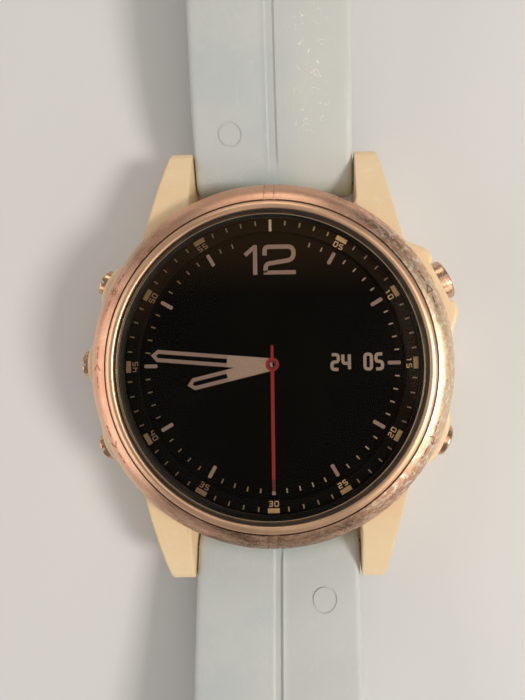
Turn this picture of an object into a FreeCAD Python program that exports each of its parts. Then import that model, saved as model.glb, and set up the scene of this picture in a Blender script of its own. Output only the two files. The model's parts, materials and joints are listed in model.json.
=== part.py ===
import FreeCAD, Part
import math
import os

# Round GPS watch with a two-part silicone strap, lying open. Millimetres.
# +Z is the display's outward normal, +Y points to 12 o'clock, +X to 3 o'clock.
# The origin is the centre of the case back, on the display's axis.

Vector = FreeCAD.Vector
ORIGIN = Vector(0, 0, 0)
X_AXIS, Y_AXIS, Z_AXIS = Vector(1, 0, 0), Vector(0, 1, 0), Vector(0, 0, 1)
SIDES = (1, -1)

# ---------------------------------------------------------------- shared dimensions
FIT = 0.05               # clearance around inserted and turning parts

# case, bezel and lens
CASE_R = 20.6
CASE_BOTTOM_Z = 2.2
CASE_TOP_Z = 11.0        # seat of the bezel
CASE_BORE_R = 17.6
CASE_LEDGE_R = 15.6      # inner radius of the rear ledge
CASE_LEDGE_Z = 3.6       # top of the rear ledge
LENS_SEAT_Z = 13.6
LENS_R = 17.4

# rear cover
COVER_R = 19.85
GASKET_IN_R, GASKET_OUT_R = 16.15, 16.85
SCREW_PITCH_R = 18.75
SCREW_CENTRES = [(SCREW_PITCH_R * math.cos(math.radians(a)),
                  SCREW_PITCH_R * math.sin(math.radians(a))) for a in (45, 135, 225, 315)]
PORT_HALF_X = 4.0
PORT_Y0, PORT_Y1 = -14.3, -11.0

# lugs, lug pins and their screws
LUG_IN_X = 10.2          # half the gap between the lugs
LUG_TIP_Y = 26.5         # half the lug-to-lug length
PIN_Y, PIN_Z = 23.6, 5.5
PIN_R = 0.75
PIN_HALF = 11.2
SCREW_HEAD_X = 12.5      # floor of the head's counterbore
SCREW_HEAD_R = 1.2

# Buttons are drawn along +X, then turned about Z by an angle anticlockwise from 3 o'clock.
# name, angle, cap radius, then the x of the pocket floor, the cap root and the cap face
BUTTON_Z = 7.0
BUTTONS = [
    ("light", 154.5, 1.6, 21.1, 22.3, 24.1),
    ("up", 180.0, 1.6, 21.1, 22.3, 24.1),
    ("down", 206.0, 1.6, 21.1, 22.3, 24.1),
    ("start", 25.0, 2.5, 20.9, 22.1, 23.8),
    ("back", -26.0, 1.95, 20.4, 21.6, 23.55),
]
BUTTON_ANGLES = [button[1] for button in BUTTONS]


# ---------------------------------------------------------------- helpers
def rod_x(radius, x0, x1, y=0.0, z=0.0):
    return Part.makeCylinder(radius, x1 - x0, Vector(x0, y, z), X_AXIS)


def rod_y(radius, y0, y1, x=0.0, z=0.0):
    return Part.makeCylinder(radius, y1 - y0, Vector(x, y0, z), Y_AXIS)


def rod_z(radius, z0, z1, x=0.0, y=0.0):
    return Part.makeCylinder(radius, z1 - z0, Vector(x, y, z0), Z_AXIS)


def ring_z(outer_r, inner_r, z0, z1):
    return rod_z(outer_r, z0, z1).cut(rod_z(inner_r, z0 - 1, z1 + 1))


def box(x0, x1, y0, y1, z0, z1):
    return Part.makeBox(x1 - x0, y1 - y0, z1 - z0, Vector(x0, y0, z0))


def span(side, near, far):
    """The range near..far, on the positive or the negative side, low end first."""
    return sorted((side * near, side * far))


def in_xz(points):
    return [Vector(x, 0, z) for x, z in points]


def in_xy(points, z):
    return [Vector(x, y, z) for x, y in points]


def in_yz(points, x):
    return [Vector(x, y, z) for y, z in points]


def line_edges(vectors):
    return [Part.makeLine(a, b) for a, b in zip(vectors, vectors[1:])]


def curve_edge(vectors):
    curve = Part.BSplineCurve()
    curve.interpolate(vectors)
    return curve.toShape()


def polygon_face(vectors):
    return Part.Face(Part.makePolygon(vectors + [vectors[0]]))


def hexagon(radius, x=0.0, y=0.0):
    return [(x + radius * math.cos(k * math.pi / 3), y + radius * math.sin(k * math.pi / 3))
            for k in range(6)]


def revolved(points):
    """Solid of revolution about Z from a closed list of (r, z)."""
    return polygon_face(in_xz(points)).revolve(ORIGIN, Z_AXIS, 360)


def prism_z(points, z0, z1):
    return polygon_face(in_xy(points, z0)).extrude(Vector(0, 0, z1 - z0))


def turned(shape, angle):
    copy = shape.copy()
    copy.rotate(ORIGIN, Z_AXIS, angle)
    return copy


def four_corners(shape):
    """The shape of the +X +Y quadrant and its mirror images in the other three."""
    copies = []
    for side_x in SIDES:
        for side_y in SIDES:
            copy = shape.copy()
            if side_x < 0:
                copy = copy.mirror(ORIGIN, X_AXIS)
            if side_y < 0:
                copy = copy.mirror(ORIGIN, Y_AXIS)
            copies.append(copy)
    return copies


def soften(solid, edges, sizes, chamfer=False):
    """Fillet (or chamfer) the edges with the first size that gives a valid solid."""
    for size in sizes:
        # the kernel raises an error when a size doesn't fit; the next size is then tried
        try:
            out = solid.makeChamfer(size, edges) if chamfer else solid.makeFillet(size, edges)
            if out.isValid() and len(out.Solids) == 1:
                return out.Solids[0]
        except Exception:
            pass
    return solid


def rounded_box(x0, x1, y0, y1, z0, z1, radius):
    """Box with its upright edges rounded."""
    block = box(x0, x1, y0, y1, z0, z1)
    return soften(block, [e for e in block.Edges
                          if abs(e.Vertexes[0].X - e.Vertexes[1].X) < 1e-6
                          and abs(e.Vertexes[0].Y - e.Vertexes[1].Y) < 1e-6], [radius])


def edges_at_x(solid, x):
    return [e for e in solid.Edges
            if abs(e.BoundBox.XMin - x) < 1e-3 and abs(e.BoundBox.XMax - x) < 1e-3]


def coil(radius, half_wire, length, turns):
    """Compression spring of square wire from z=0 to z=length, lofted through its sections."""
    sections_per_turn = 12
    count = int(turns * sections_per_turn)
    rise = (length - 2 * half_wire) / count
    corners = ((-half_wire, -half_wire), (half_wire, -half_wire),
               (half_wire, half_wire), (-half_wire, half_wire))
    sections = []
    for i in range(count + 1):
        angle = 2 * math.pi * i / sections_per_turn
        z = half_wire + rise * i
        section = [Vector((radius + dr) * math.cos(angle), (radius + dr) * math.sin(angle), z + dz)
                   for dr, dz in corners]
        sections.append(Part.makePolygon(section + [section[0]]))
    return Part.makeLoft(sections, True, True).Solids[0]


# ---------------------------------------------------------------- bezel and lens
BEZEL_R = 21.0
BEZEL_IN_R = 17.6        # inner edge of the polished ring
BEZEL_BORE_R = 17.55
BEZEL_TOP_Z = 15.15
BEZEL_LEDGE_R, BEZEL_LEDGE_Z = 16.9, 12.95     # ledge that carries the lens gasket
# outer band, from its short upright wall up to the groove: (r, z)
BAND = [(BEZEL_R, 12.55), (20.9, 12.95), (20.55, 13.5), (20.05, 14.02), (19.45, 14.42),
        (18.78, 14.68)]
GROOVE_R0, GROOVE_R1 = 18.58, BAND[-1][0]      # circular groove
GROOVE_DEPTH = 0.28
# polished ring, from the groove inwards: (r, z)
POLISHED = [(GROOVE_R0, 14.86), (18.3, 15.06), (17.95, BEZEL_TOP_Z), (17.72, 15.09),
            (BEZEL_IN_R, 14.93)]
BRIDGE_W = 0.95          # width of the bridge bars at 12 and 6 o'clock
BRIDGE_GROOVE_W = 0.20
BRIDGE_DEPTH = 0.2
BRIDGE_Y = (18.0, 22.0)  # band of y that spans a bridge


def make_bezel():
    groove_z = BAND[-1][1] - GROOVE_DEPTH
    wall = [(BEZEL_BORE_R, CASE_TOP_Z), (BEZEL_R - 0.3, CASE_TOP_Z),
            (BEZEL_R, CASE_TOP_Z + 0.3), BAND[0]]
    groove = [BAND[-1], (GROOVE_R1, groove_z), (GROOVE_R0, groove_z), POLISHED[0]]
    inside = [POLISHED[-1], (BEZEL_IN_R, LENS_SEAT_Z), (BEZEL_LEDGE_R, LENS_SEAT_Z),
              (BEZEL_LEDGE_R, BEZEL_LEDGE_Z), (BEZEL_BORE_R, BEZEL_LEDGE_Z), wall[0]]
    edges = line_edges(in_xz(wall)) + [curve_edge(in_xz(BAND))]
    edges += line_edges(in_xz(groove)) + [curve_edge(in_xz(POLISHED))]
    edges += line_edges(in_xz(inside))
    bezel = Part.Face(Part.Wire(edges)).revolve(ORIGIN, Z_AXIS, 360)

    # the bridges fill the circular groove
    overlap = 0.02
    fill = revolved([(GROOVE_R0 - overlap, 14.2), (GROOVE_R1 + overlap, 14.2),
                     (GROOVE_R1 + overlap, 14.67), (GROOVE_R0 - overlap, 14.85)])
    half = BRIDGE_W / 2
    for side in SIDES:
        bezel = bezel.fuse(fill.common(box(-half, half, *span(side, *BRIDGE_Y), 13.0, 16.0)))
    bezel = bezel.removeSplitter()

    # a radial groove follows the surface on each side of a bridge
    surface = [(GROOVE_R0, 14.9)] + BAND[:1:-1]
    skin = revolved([(r, z - BRIDGE_DEPTH) for r, z in surface]
                    + [(20.75, 12.9), (20.8, 12.3), (20.8, 10.5), (22.5, 10.5), (22.5, 16.5),
                       (GROOVE_R0, 16.5)])
    for side_y in SIDES:
        for side_x in SIDES:
            x0, x1 = span(side_x, half, half + BRIDGE_GROOVE_W)
            bezel = bezel.cut(skin.common(box(x0, x1, *span(side_y, *BRIDGE_Y), 10.0, 17.0)))
    return bezel


def make_lens():
    bottom_z, top_z, chamfer = 13.82, 15.4, 0.42
    return revolved([(0, bottom_z), (LENS_R, bottom_z), (LENS_R, top_z - chamfer),
                     (LENS_R - chamfer, top_z), (0, top_z)])


def make_lens_gasket():
    """L-section ring under and around the lens."""
    inner_r, wall_r, outer_r = 16.92, 17.42, 17.59
    floor_z, top_z = 13.8, 14.92
    return revolved([(inner_r, LENS_SEAT_Z), (outer_r, LENS_SEAT_Z), (outer_r, top_z),
                     (wall_r, top_z), (wall_r, floor_z), (inner_r, floor_z)])


# ---------------------------------------------------------------- display
DISPLAY_R = 16.2


def make_minute_ring():
    return revolved([(15.2, 13.3), (16.82, 13.3), (16.82, 13.78), (15.35, 13.78), (15.2, 13.65)])


def make_display_frame():
    """Cup with an edge notch at 6 o'clock and a window in its floor."""
    frame = rod_z(17.4, 11.2, 12.85).cut(rod_z(16.3, 11.8, 13.5))
    notch = box(-4.4, 4.4, -18, -15.2, 11.0, 13.5)
    window = box(-5.5, 5.5, 4, 12, 11.0, 11.9)
    return frame.cut(notch).cut(window)


def make_display_flex():
    """Ribbon down the 6 o'clock side, folded inwards at the top and the bottom."""
    half_w, thickness = 4.0, 0.12
    wall_y, bottom_z, top_z = -16.83, 10.75, 12.62
    upright = box(-half_w, half_w, wall_y - thickness, wall_y, bottom_z, top_z)
    upper_fold = box(-half_w, half_w, wall_y, -15.72, top_z - thickness, top_z)
    upper_fold = upper_fold.cut(rod_z(DISPLAY_R + 0.02, 12.0, 13.0))
    lower_fold = box(-half_w, half_w, wall_y, -14.6, bottom_z, bottom_z + thickness)
    return upright.fuse(upper_fold).fuse(lower_fold).removeSplitter()


# ---------------------------------------------------------------- electronics
def make_main_board():
    """Round board with four notches in its edge."""
    board = rod_z(17.3, 9.95, 10.72)
    for angle in (60, 120, 240, 300):
        board = board.cut(turned(box(16.4, 18.0, -1.2, 1.2, 9.0, 11.5), angle))
    return board


def make_shield_cans():
    plans = ((-10.5, -0.6, -7.2, 3.4), (0.4, 9.6, -7.2, 1.2), (-6.0, 6.5, 4.2, 8.2))  # x and y
    return Part.makeCompound([rounded_box(*plan, 8.75, 9.93, 0.6) for plan in plans])


def make_gps_antenna():
    return ring_z(17.2, 16.1, 10.74, 11.12).cut(box(-5.5, 5.5, -20, -10, 10, 12))


def make_chassis():
    """Cup with openings for the sensor, the charge port and the buttons, and two thin ribs."""
    outer_r, bottom_z, floor_z, top_z = 17.5, 3.7, 4.3, 9.9
    rib_w, rib_z = 0.25, 7.4
    chassis = ring_z(outer_r, 16.7, bottom_z, top_z).fuse(rod_z(outer_r, bottom_z, floor_z))
    chassis = chassis.cut(rod_z(5.0, 3.0, 5.0)).cut(box(-5, 5, -14.8, -10.6, 3.0, 5.0))
    opening = box(13.5, 18.5, -2.0, 2.0, BUTTON_Z - 1.8, BUTTON_Z + 1.8)
    for angle in BUTTON_ANGLES:
        chassis = chassis.cut(turned(opening, angle))
    chassis = chassis.fuse(box(-11.9, -11.9 + rib_w, -6.5, 6.5, floor_z, rib_z))
    chassis = chassis.fuse(box(-9, 9, 9.65, 9.65 + rib_w, floor_z, rib_z))
    return chassis.removeSplitter()


def make_battery():
    return rounded_box(-11.5, 11.5, -9.5, 9.5, 4.4, 8.5, 2.0)


COMPONENT_Z = 4.35       # underside of the beeper and the barometer


def make_beeper():
    y, step_z = 13.4, 4.75
    return rod_z(3.1, COMPONENT_Z, step_z, 0, y).fuse(rod_z(2.1, step_z, 5.1, 0, y))


def make_barometer():
    x, y = 8.0, 12.2
    return rod_z(1.55, COMPONENT_Z, 6.6, x, y).cut(rod_z(0.35, 6.0, 7.0, x, y))


# the vibration motor's shaft lies along Y
MOTOR_X, MOTOR_Z = 13.7, 6.15


def make_vibration_motor():
    can = rod_y(1.65, -3.6, 1.6, MOTOR_X, MOTOR_Z)
    return can.cut(rod_y(0.35, -1.5, 2.5, MOTOR_X, MOTOR_Z))


def make_vibration_weight():
    """Eccentric weight on its shaft."""
    end_y = 4.3
    weight = rod_y(1.5, 1.95, end_y, MOTOR_X, MOTOR_Z)
    weight = weight.cut(box(MOTOR_X - 3, MOTOR_X + 3, 1.0, 6.0, MOTOR_Z + 0.35, MOTOR_Z + 4))
    return weight.fuse(rod_y(0.3, -1.2, end_y, MOTOR_X, MOTOR_Z)).removeSplitter()


# ---------------------------------------------------------------- rear side
WINDOW_R, WINDOW_FLANGE_R, WINDOW_FLANGE_Z = 5.55, 6.25, 1.45
CONTACT_R = 0.3
CONTACT_PITCH = 1.5
CONTACT_XS = [(k - 1.5) * CONTACT_PITCH for k in range(4)]
CONTACT_Y = (PORT_Y0 + PORT_Y1) / 2


def make_rear_cover():
    cover = revolved([(0, 0), (8.2, 0), (8.9, 0.35), (9.6, 1.0), (COVER_R - 0.5, 1.0),
                      (COVER_R, 1.5), (COVER_R, CASE_BOTTOM_Z), (0, CASE_BOTTOM_Z)])
    cover = cover.cut(rod_z(WINDOW_R + FIT, -1, 3))
    cover = cover.cut(rod_z(WINDOW_FLANGE_R + FIT, WINDOW_FLANGE_Z - FIT, 3))
    cover = cover.cut(rounded_box(-PORT_HALF_X - FIT, PORT_HALF_X + FIT,
                                  PORT_Y0 - FIT, PORT_Y1 + FIT, 0.0, 3.0, 1.0))
    for x, y in SCREW_CENTRES:
        cover = cover.cut(rod_z(0.7, 0, 3, x, y)).cut(rod_z(1.05, 0.5, 1.6, x, y))
    return cover


def make_sensor_window():
    return revolved([(0, 0), (WINDOW_R - 0.25, 0), (WINDOW_R, 0.25), (WINDOW_R, WINDOW_FLANGE_Z),
                     (WINDOW_FLANGE_R, WINDOW_FLANGE_Z), (WINDOW_FLANGE_R, 2.0), (0, 2.0)])


def make_sensor_board():
    """Notched disc with one square chip in the middle and three around it, on its rear face."""
    chip_z = (2.02, 2.2)
    board = rod_z(6.5, 2.22, 2.78).cut(box(-2.5, 2.5, 5.6, 8, 2, 3))
    chips = [rounded_box(-0.9, 0.9, -0.9, 0.9, *chip_z, 0.2)]
    for angle in (0, 120, 240):
        chips.append(turned(rounded_box(2.3, 3.7, -0.8, 0.8, *chip_z, 0.15), angle))
    return Part.makeCompound([board] + chips)


def make_rear_screws():
    screws = []
    for x, y in SCREW_CENTRES:
        screw = rod_z(1.0, 1.02, 1.58, x, y).fuse(rod_z(0.58, 1.5, 5.0, x, y))
        screws.append(screw.cut(prism_z(hexagon(0.45, x, y), 0.9, 1.4)).removeSplitter())
    return Part.makeCompound(screws)


def make_rear_gasket():
    z0, z1 = 2.22, 2.66
    return revolved([(GASKET_IN_R, z0), (GASKET_OUT_R, z0), (GASKET_OUT_R, z1), (GASKET_IN_R, z1)])


def make_charge_port():
    wall = 0.6
    inner_half_x = PORT_HALF_X - wall
    port = rounded_box(-PORT_HALF_X, PORT_HALF_X, PORT_Y0, PORT_Y1, 1.05, 3.5, 0.95)
    port = port.cut(rounded_box(-inner_half_x, inner_half_x,
                                PORT_Y0 + wall, PORT_Y1 - wall, 0.5, 2.6, 0.6))
    for x in CONTACT_XS:
        port = port.cut(rod_z(CONTACT_R, 2.0, 4.0, x, CONTACT_Y))
    return port


def make_charge_contacts():
    return Part.makeCompound([rod_z(CONTACT_R, 1.7, 3.6, x, CONTACT_Y) for x in CONTACT_XS])


# ---------------------------------------------------------------- case
# lug outline seen from above: (x, y)
LUG_PLAN = [(LUG_IN_X, 10.0), (LUG_IN_X, LUG_TIP_Y - 0.4), (LUG_IN_X + 0.12, LUG_TIP_Y - 0.12),
            (LUG_IN_X + 0.4, LUG_TIP_Y), (12.35, LUG_TIP_Y), (12.85, 26.25), (13.08, 25.7),
            (15.35, 16.0), (16.1, 13.3), (16.1, 10.0)]
# lug outline seen from the side: (y, z)
LUG_SIDE = [(10.0, 10.9), (15.6, 10.9), (18.5, 10.6), (21.5, 9.95), (24.0, 9.15), (25.7, 8.4),
            (26.25, 7.95), (LUG_TIP_Y, 7.3), (LUG_TIP_Y, 4.2), (26.0, 3.1), (24.6, 2.5),
            (20.0, 2.3), (10.0, 2.3)]
WEB_R = 1.3              # concave corner between a lug and the case wall
WEB_WALL_Y = 18.69       # y at which the corner's arc meets the wall
# guards on the 3 o'clock side, either side of a straight-edged recess: (x, y)
GUARD_UPPER = [
    (15.1, 15.3), (15.71, 14.96), (16.4, 14.42), (17.2, 14.07), (18.0, 13.8), (18.5, 13.57),
    (18.85, 13.28), (19.1, 12.95), (19.29, 12.55), (19.34, 12.1), (19.2, 11.75), (19.0, 11.55)]
GUARD_LOWER = [
    (21.15, 7.25), (21.6, 7.13), (21.95, 6.85), (22.17, 6.4), (22.25, 5.9), (22.21, 5.4),
    (22.08, 4.9), (21.9, 4.35), (21.65, 3.5), (21.42, 2.4), (21.25, 1.2), (21.1, -1.5),
    (21.0, -4.0), (20.92, -5.3), (20.95, -6.3), (20.98, -7.0), (20.86, -7.9), (20.6, -8.75),
    (20.25, -9.55), (19.85, -10.35), (19.4, -11.1), (18.95, -11.7), (18.4, -12.15),
    (17.7, -12.5), (16.8, -12.85), (15.8, -13.3)]
GUARD_Z0, GUARD_Z1 = 3.7, 10.55


def make_lug():
    side = polygon_face(in_yz(LUG_SIDE, 9.0)).extrude(Vector(9.0, 0, 0))
    lug = prism_z(LUG_PLAN, 1.0, 12.0).common(side).Solids[0]
    # long edges along the top, on the outer and the inner side
    outer, inner = [], []
    for edge in lug.Edges:
        a, b = edge.Vertexes[0].Point, edge.Vertexes[-1].Point
        if max(a.y, b.y) < 14.0 or (a.z + b.z) / 2 <= 6.5 or abs(a.y - b.y) <= 0.5:
            continue
        if a.x > 11.0:
            outer.append(edge)
        elif a.x < 10.5 and b.x < 10.5:
            inner.append(edge)
    return soften(lug, outer + inner, [0.45, 0.35, 0.25, 0.15], chamfer=True)


def make_web():
    root_x, back_x, back_y = LUG_IN_X + 0.3, 8.2, 16.5
    plan = [(root_x, back_y), (root_x, WEB_WALL_Y + WEB_R)]
    for degrees in range(0, 91, 10):
        angle = math.radians(degrees)
        plan.append((LUG_IN_X - WEB_R * (1 - math.cos(angle)),
                     WEB_WALL_Y + WEB_R * (1 - math.sin(angle))))
    plan += [(back_x, 18.6), (back_x, back_y)]
    return prism_z(plan, 3.7, 10.4)


def rim_edges(solid, outline):
    """The top and bottom edges along an outline, found by the midpoint of their ends."""
    (xa, ya), (xb, yb) = outline[0], outline[-1]
    targets = [Vector((xa + xb) / 2, (ya + yb) / 2, z) for z in (GUARD_Z0, GUARD_Z1)]
    found = []
    for edge in solid.Edges:
        middle = (edge.Vertexes[0].Point + edge.Vertexes[-1].Point) * 0.5
        if any((middle - target).Length < 0.25 for target in targets):
            found.append(edge)
    return found


def make_guard():
    upper, lower = in_xy(GUARD_UPPER, GUARD_Z0), in_xy(GUARD_LOWER, GUARD_Z0)
    inside = in_xy([(10.0, -6.0), (10.0, 8.0)], GUARD_Z0)
    edges = [curve_edge(upper), Part.makeLine(upper[-1], lower[0]), curve_edge(lower)]
    edges += line_edges([lower[-1]] + inside + [upper[0]])
    wire = Part.Wire(Part.__sortEdges__(edges))
    guard = Part.Face(wire).extrude(Vector(0, 0, GUARD_Z1 - GUARD_Z0))
    guard = soften(guard, rim_edges(guard, GUARD_LOWER), [0.5, 0.4, 0.35])
    return soften(guard, rim_edges(guard, GUARD_UPPER), [0.7, 0.6, 0.5, 0.4, 0.3])


def make_collar():
    face_x = 22.85
    collar = rod_x(3.0, 17.8, face_x, 0, BUTTON_Z)
    return soften(collar, edges_at_x(collar, face_x), [0.55, 0.45, 0.3])


def make_case():
    case = revolved([(0, CASE_BOTTOM_Z), (COVER_R, CASE_BOTTOM_Z), (20.3, 2.75), (CASE_R, 3.6),
                     (CASE_R, 10.6), (20.45, 10.85), (20.3, CASE_TOP_Z), (0, CASE_TOP_Z)])
    case = case.multiFuse(four_corners(make_lug()))
    for web in four_corners(make_web()):
        case = case.fuse(web)
    case = case.fuse(make_guard())
    for angle in BUTTON_ANGLES:
        if angle > 90:   # only the 9 o'clock side has collars
            case = case.fuse(turned(make_collar(), angle))

    # bore, rear ledge and gasket groove
    case = case.cut(rod_z(CASE_BORE_R, CASE_LEDGE_Z, 13.0)).cut(rod_z(CASE_LEDGE_R, 1.0, 5.0))
    groove_in, groove_out, groove_z = GASKET_IN_R - FIT, GASKET_OUT_R + FIT, 2.7
    case = case.cut(revolved([(groove_in, 1.5), (groove_out, 1.5),
                              (groove_out, groove_z), (groove_in, groove_z)]))
    for _, angle, cap_r, floor_x, _, _ in BUTTONS:
        bore = rod_x(1.5, 16.5, floor_x + 0.1, 0, BUTTON_Z)
        pocket = rod_x(cap_r + FIT, floor_x, 26.0, 0, BUTTON_Z)
        case = case.cut(turned(bore.fuse(pocket), angle))
    for x, y in SCREW_CENTRES:
        case = case.cut(rod_z(0.6, 1.5, 5.2, x, y))

    # stepped holes for the lug pins and screws: radius, inner x, outer x
    steps = ((PIN_R + 0.01, 9.5, PIN_HALF),
             (0.55, PIN_HALF - 0.1, SCREW_HEAD_X + 0.1),
             (SCREW_HEAD_R + FIT, SCREW_HEAD_X, 18.0))
    for side_y in SIDES:
        for side_x in SIDES:
            for radius, x0, x1 in steps:
                case = case.cut(rod_x(radius, *span(side_x, x0, x1), side_y * PIN_Y, PIN_Z))
    return case.removeSplitter()


# ---------------------------------------------------------------- buttons
STEM_R = 0.9
STEM_IN_X = 16.85
CLIP_X0, CLIP_X1 = 17.15, 17.45
CLIP_GROOVE_R = 0.62
CLIP_GAP = 0.02          # between the clip and the stem's groove
SPRING_GAP = 0.03        # at each end of the spring
SWITCH_HALF_Z = 1.1


def button_rod(radius, x0, x1):
    return rod_x(radius, x0, x1, 0, BUTTON_Z)


def make_button(angle, cap_r, root_x, face_x):
    cap = button_rod(cap_r, root_x, face_x)
    cap = soften(cap, edges_at_x(cap, face_x), [0.32, 0.25])
    if angle > 90:       # slot across the caps on the 9 o'clock side
        cap = cap.cut(box(face_x - 0.5, face_x + 1, -0.13, 0.13, 0, 14))
    groove = button_rod(STEM_R + 0.5, CLIP_X0 - CLIP_GAP, CLIP_X1 + CLIP_GAP)
    groove = groove.cut(button_rod(CLIP_GROOVE_R, 17.0, 17.6))
    stem = button_rod(STEM_R, STEM_IN_X, root_x + 0.3).cut(groove)
    return turned(cap.fuse(stem).removeSplitter(), angle)


def make_clip(angle):
    clip = button_rod(1.5, CLIP_X0, CLIP_X1)
    clip = clip.cut(button_rod(CLIP_GROOVE_R + CLIP_GAP, 17.0, 17.6))
    return turned(clip.cut(box(17.0, 17.6, -0.5, 0.5, BUTTON_Z, BUTTON_Z + 3)), angle)


def make_button_spring(angle, floor_x, root_x):
    spring = coil(radius=1.2, half_wire=0.08, length=root_x - floor_x - 2 * SPRING_GAP, turns=2)
    spring.rotate(ORIGIN, Y_AXIS, 90)
    spring.translate(Vector(floor_x + SPRING_GAP, 0, BUTTON_Z))
    return turned(spring, angle)


def make_bush(angle, floor_x):
    bush = button_rod(1.48, 17.95, floor_x - 0.62)
    return turned(bush.cut(button_rod(STEM_R + FIT, 17.0, 24.0)), angle)


def make_o_ring(angle, floor_x):
    o_ring = button_rod(1.49, floor_x - 0.58, floor_x - 0.04)
    return turned(o_ring.cut(button_rod(STEM_R + 0.03, 17.0, 24.0)), angle)


def make_tact_switch(angle):
    body = box(14.45, 15.75, -1.45, 1.45, BUTTON_Z - SWITCH_HALF_Z, BUTTON_Z + SWITCH_HALF_Z)
    return turned(body.fuse(button_rod(0.8, 15.7, 16.2)).removeSplitter(), angle)


def make_button_flex(angle):
    return turned(box(14.28, 14.4, -1.3, 1.3, BUTTON_Z - SWITCH_HALF_Z, 9.9), angle)


# ---------------------------------------------------------------- lug pins and screws
def make_lug_pins():
    """Pins with a blind hole in each end."""
    pins = []
    for side_y in SIDES:
        y = side_y * PIN_Y
        pin = rod_x(PIN_R, -PIN_HALF, PIN_HALF, y, PIN_Z)
        for side_x in SIDES:
            pin = pin.cut(rod_x(0.5, *span(side_x, 7.5, 12.0), y, PIN_Z))
        pins.append(pin)
    return Part.makeCompound(pins)


def make_lug_screws():
    screws = []
    for side_y in SIDES:
        for side_x in SIDES:
            screw = rod_x(0.48, 8.3, SCREW_HEAD_X + 0.2)
            screw = screw.fuse(rod_x(SCREW_HEAD_R, SCREW_HEAD_X + 0.02, 13.3))
            socket = polygon_face(in_yz(hexagon(0.62), 13.4)).extrude(Vector(-0.6, 0, 0))
            screw = screw.cut(socket).removeSplitter()
            if side_x < 0:
                screw = screw.mirror(ORIGIN, X_AXIS)
            screw.translate(Vector(0, side_y * PIN_Y, PIN_Z))
            screws.append(screw)
    return Part.makeCompound(screws)


# ---------------------------------------------------------------- strap halves
# Each half is drawn around its lug pin: y runs out along the strap, z is its outer side.
# A station is a distance along the centreline. A bend is (start station, end station,
# radius); the centreline is straight before and after it.
STRAP_W = 20.0
STRAP_TOP = 1.5          # outer face above the centreline
STRAP_BOTTOM = 1.3       # skin-side face below the centreline
STRAP_NOSE = 2.1         # radius of the strap's end around the lug pin
STRAP_LOOP = 1.9         # radius of the strap's end around the buckle bar
UPPER_LENGTH = 76.0      # lug pin to buckle bar
UPPER_BEND = (10.0, 35.9, 55.0)
UPPER_SLOPE = 17.5       # rise at the lug pin, degrees
LOWER_LENGTH = 118.0
LOWER_BEND = (10.0, LOWER_LENGTH, 190.0)
LOWER_SLOPE = 13.0
HOLE_START = 48.0        # station of the first hole
HOLE_PITCH = 6.4
HOLE_COUNT = 10
HOLE_LENGTH, HOLE_WIDTH = 2.0, 3.0

# rigid insert in the strap's end
INSERT_HALF_X = 8.6
INSERT_LENGTH = 9.0
INSERT_TOP = 1.2
HOOK_R = 1.5
POCKET_GAP = 0.02
LATCH_HALF_X = 4.0


def centreline(station, bend):
    """Point (y, z) on the centreline and its downward angle in radians."""
    start, end, radius = bend
    if station <= start:
        return station, 0.0, 0.0
    angle = (min(station, end) - start) / radius
    y, z = start + radius * math.sin(angle), -radius * (1 - math.cos(angle))
    if station > end:
        y += (station - end) * math.cos(angle)
        z -= (station - end) * math.sin(angle)
    return y, z, angle


def at_station(shape, station, bend):
    """Move a shape drawn around the origin to a station of the centreline."""
    y, z, angle = centreline(station, bend)
    moved = shape.copy()
    moved.rotate(ORIGIN, X_AXIS, -math.degrees(angle))
    moved.translate(Vector(0, y, z))
    return moved


def placed(shape, slope, lower):
    """Tilt a strap part about its lug pin, and turn it to 6 o'clock for the lower half."""
    moved = shape.copy()
    moved.rotate(ORIGIN, X_AXIS, slope)
    moved.translate(Vector(0, PIN_Y, PIN_Z))
    return turned(moved, 180) if lower else moved


def on_upper(shape, station):
    return placed(at_station(shape, station, UPPER_BEND), UPPER_SLOPE, False)


def smooth_step(start, end, station):
    t = max(0.0, min(1.0, (station - start) / (end - start)))
    return t * t * (3 - 2 * t)


def strap_faces(station, length, loop):
    """Heights of the outer and the skin-side face from the centreline."""
    top = STRAP_NOSE + (STRAP_TOP - STRAP_NOSE) * smooth_step(5, 18, station)
    bottom = STRAP_NOSE + (STRAP_BOTTOM - STRAP_NOSE) * smooth_step(11, 21, station)
    if loop:
        swell = smooth_step(length - 6.5, length - 1.0, station)
        top += (STRAP_LOOP - STRAP_TOP) * swell
        bottom += (STRAP_LOOP - STRAP_BOTTOM) * swell
    return top, bottom


def strap_blank(length, bend, loop):
    steps = 40
    tops, bottoms = [], []
    for i in range(steps + 1):
        station = length * i / steps
        y, z, angle = centreline(station, bend)
        sin, cos = math.sin(angle), math.cos(angle)
        top, bottom = strap_faces(station, length, loop)
        tops.append(Vector(0, y + top * sin, z + top * cos))
        bottoms.append(Vector(0, y - bottom * sin, z - bottom * cos))
    nose = Part.Arc(bottoms[0], Vector(0, -STRAP_NOSE, 0), tops[0]).toShape()
    if loop:
        tip = Vector(0, y + STRAP_LOOP * cos, z - STRAP_LOOP * sin)
        far_end = Part.Arc(tops[-1], tip, bottoms[-1]).toShape()
    else:
        far_end = Part.makeLine(tops[-1], bottoms[-1])
    wire = Part.Wire([nose, curve_edge(tops), far_end, curve_edge(bottoms)])
    blank = Part.Face(wire).extrude(Vector(STRAP_W, 0, 0))
    blank.translate(Vector(-STRAP_W / 2, 0, 0))
    return blank


def hook_mouth():
    return box(-12, 12, -0.8, 0.8, -4.0, 0.0)


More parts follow.
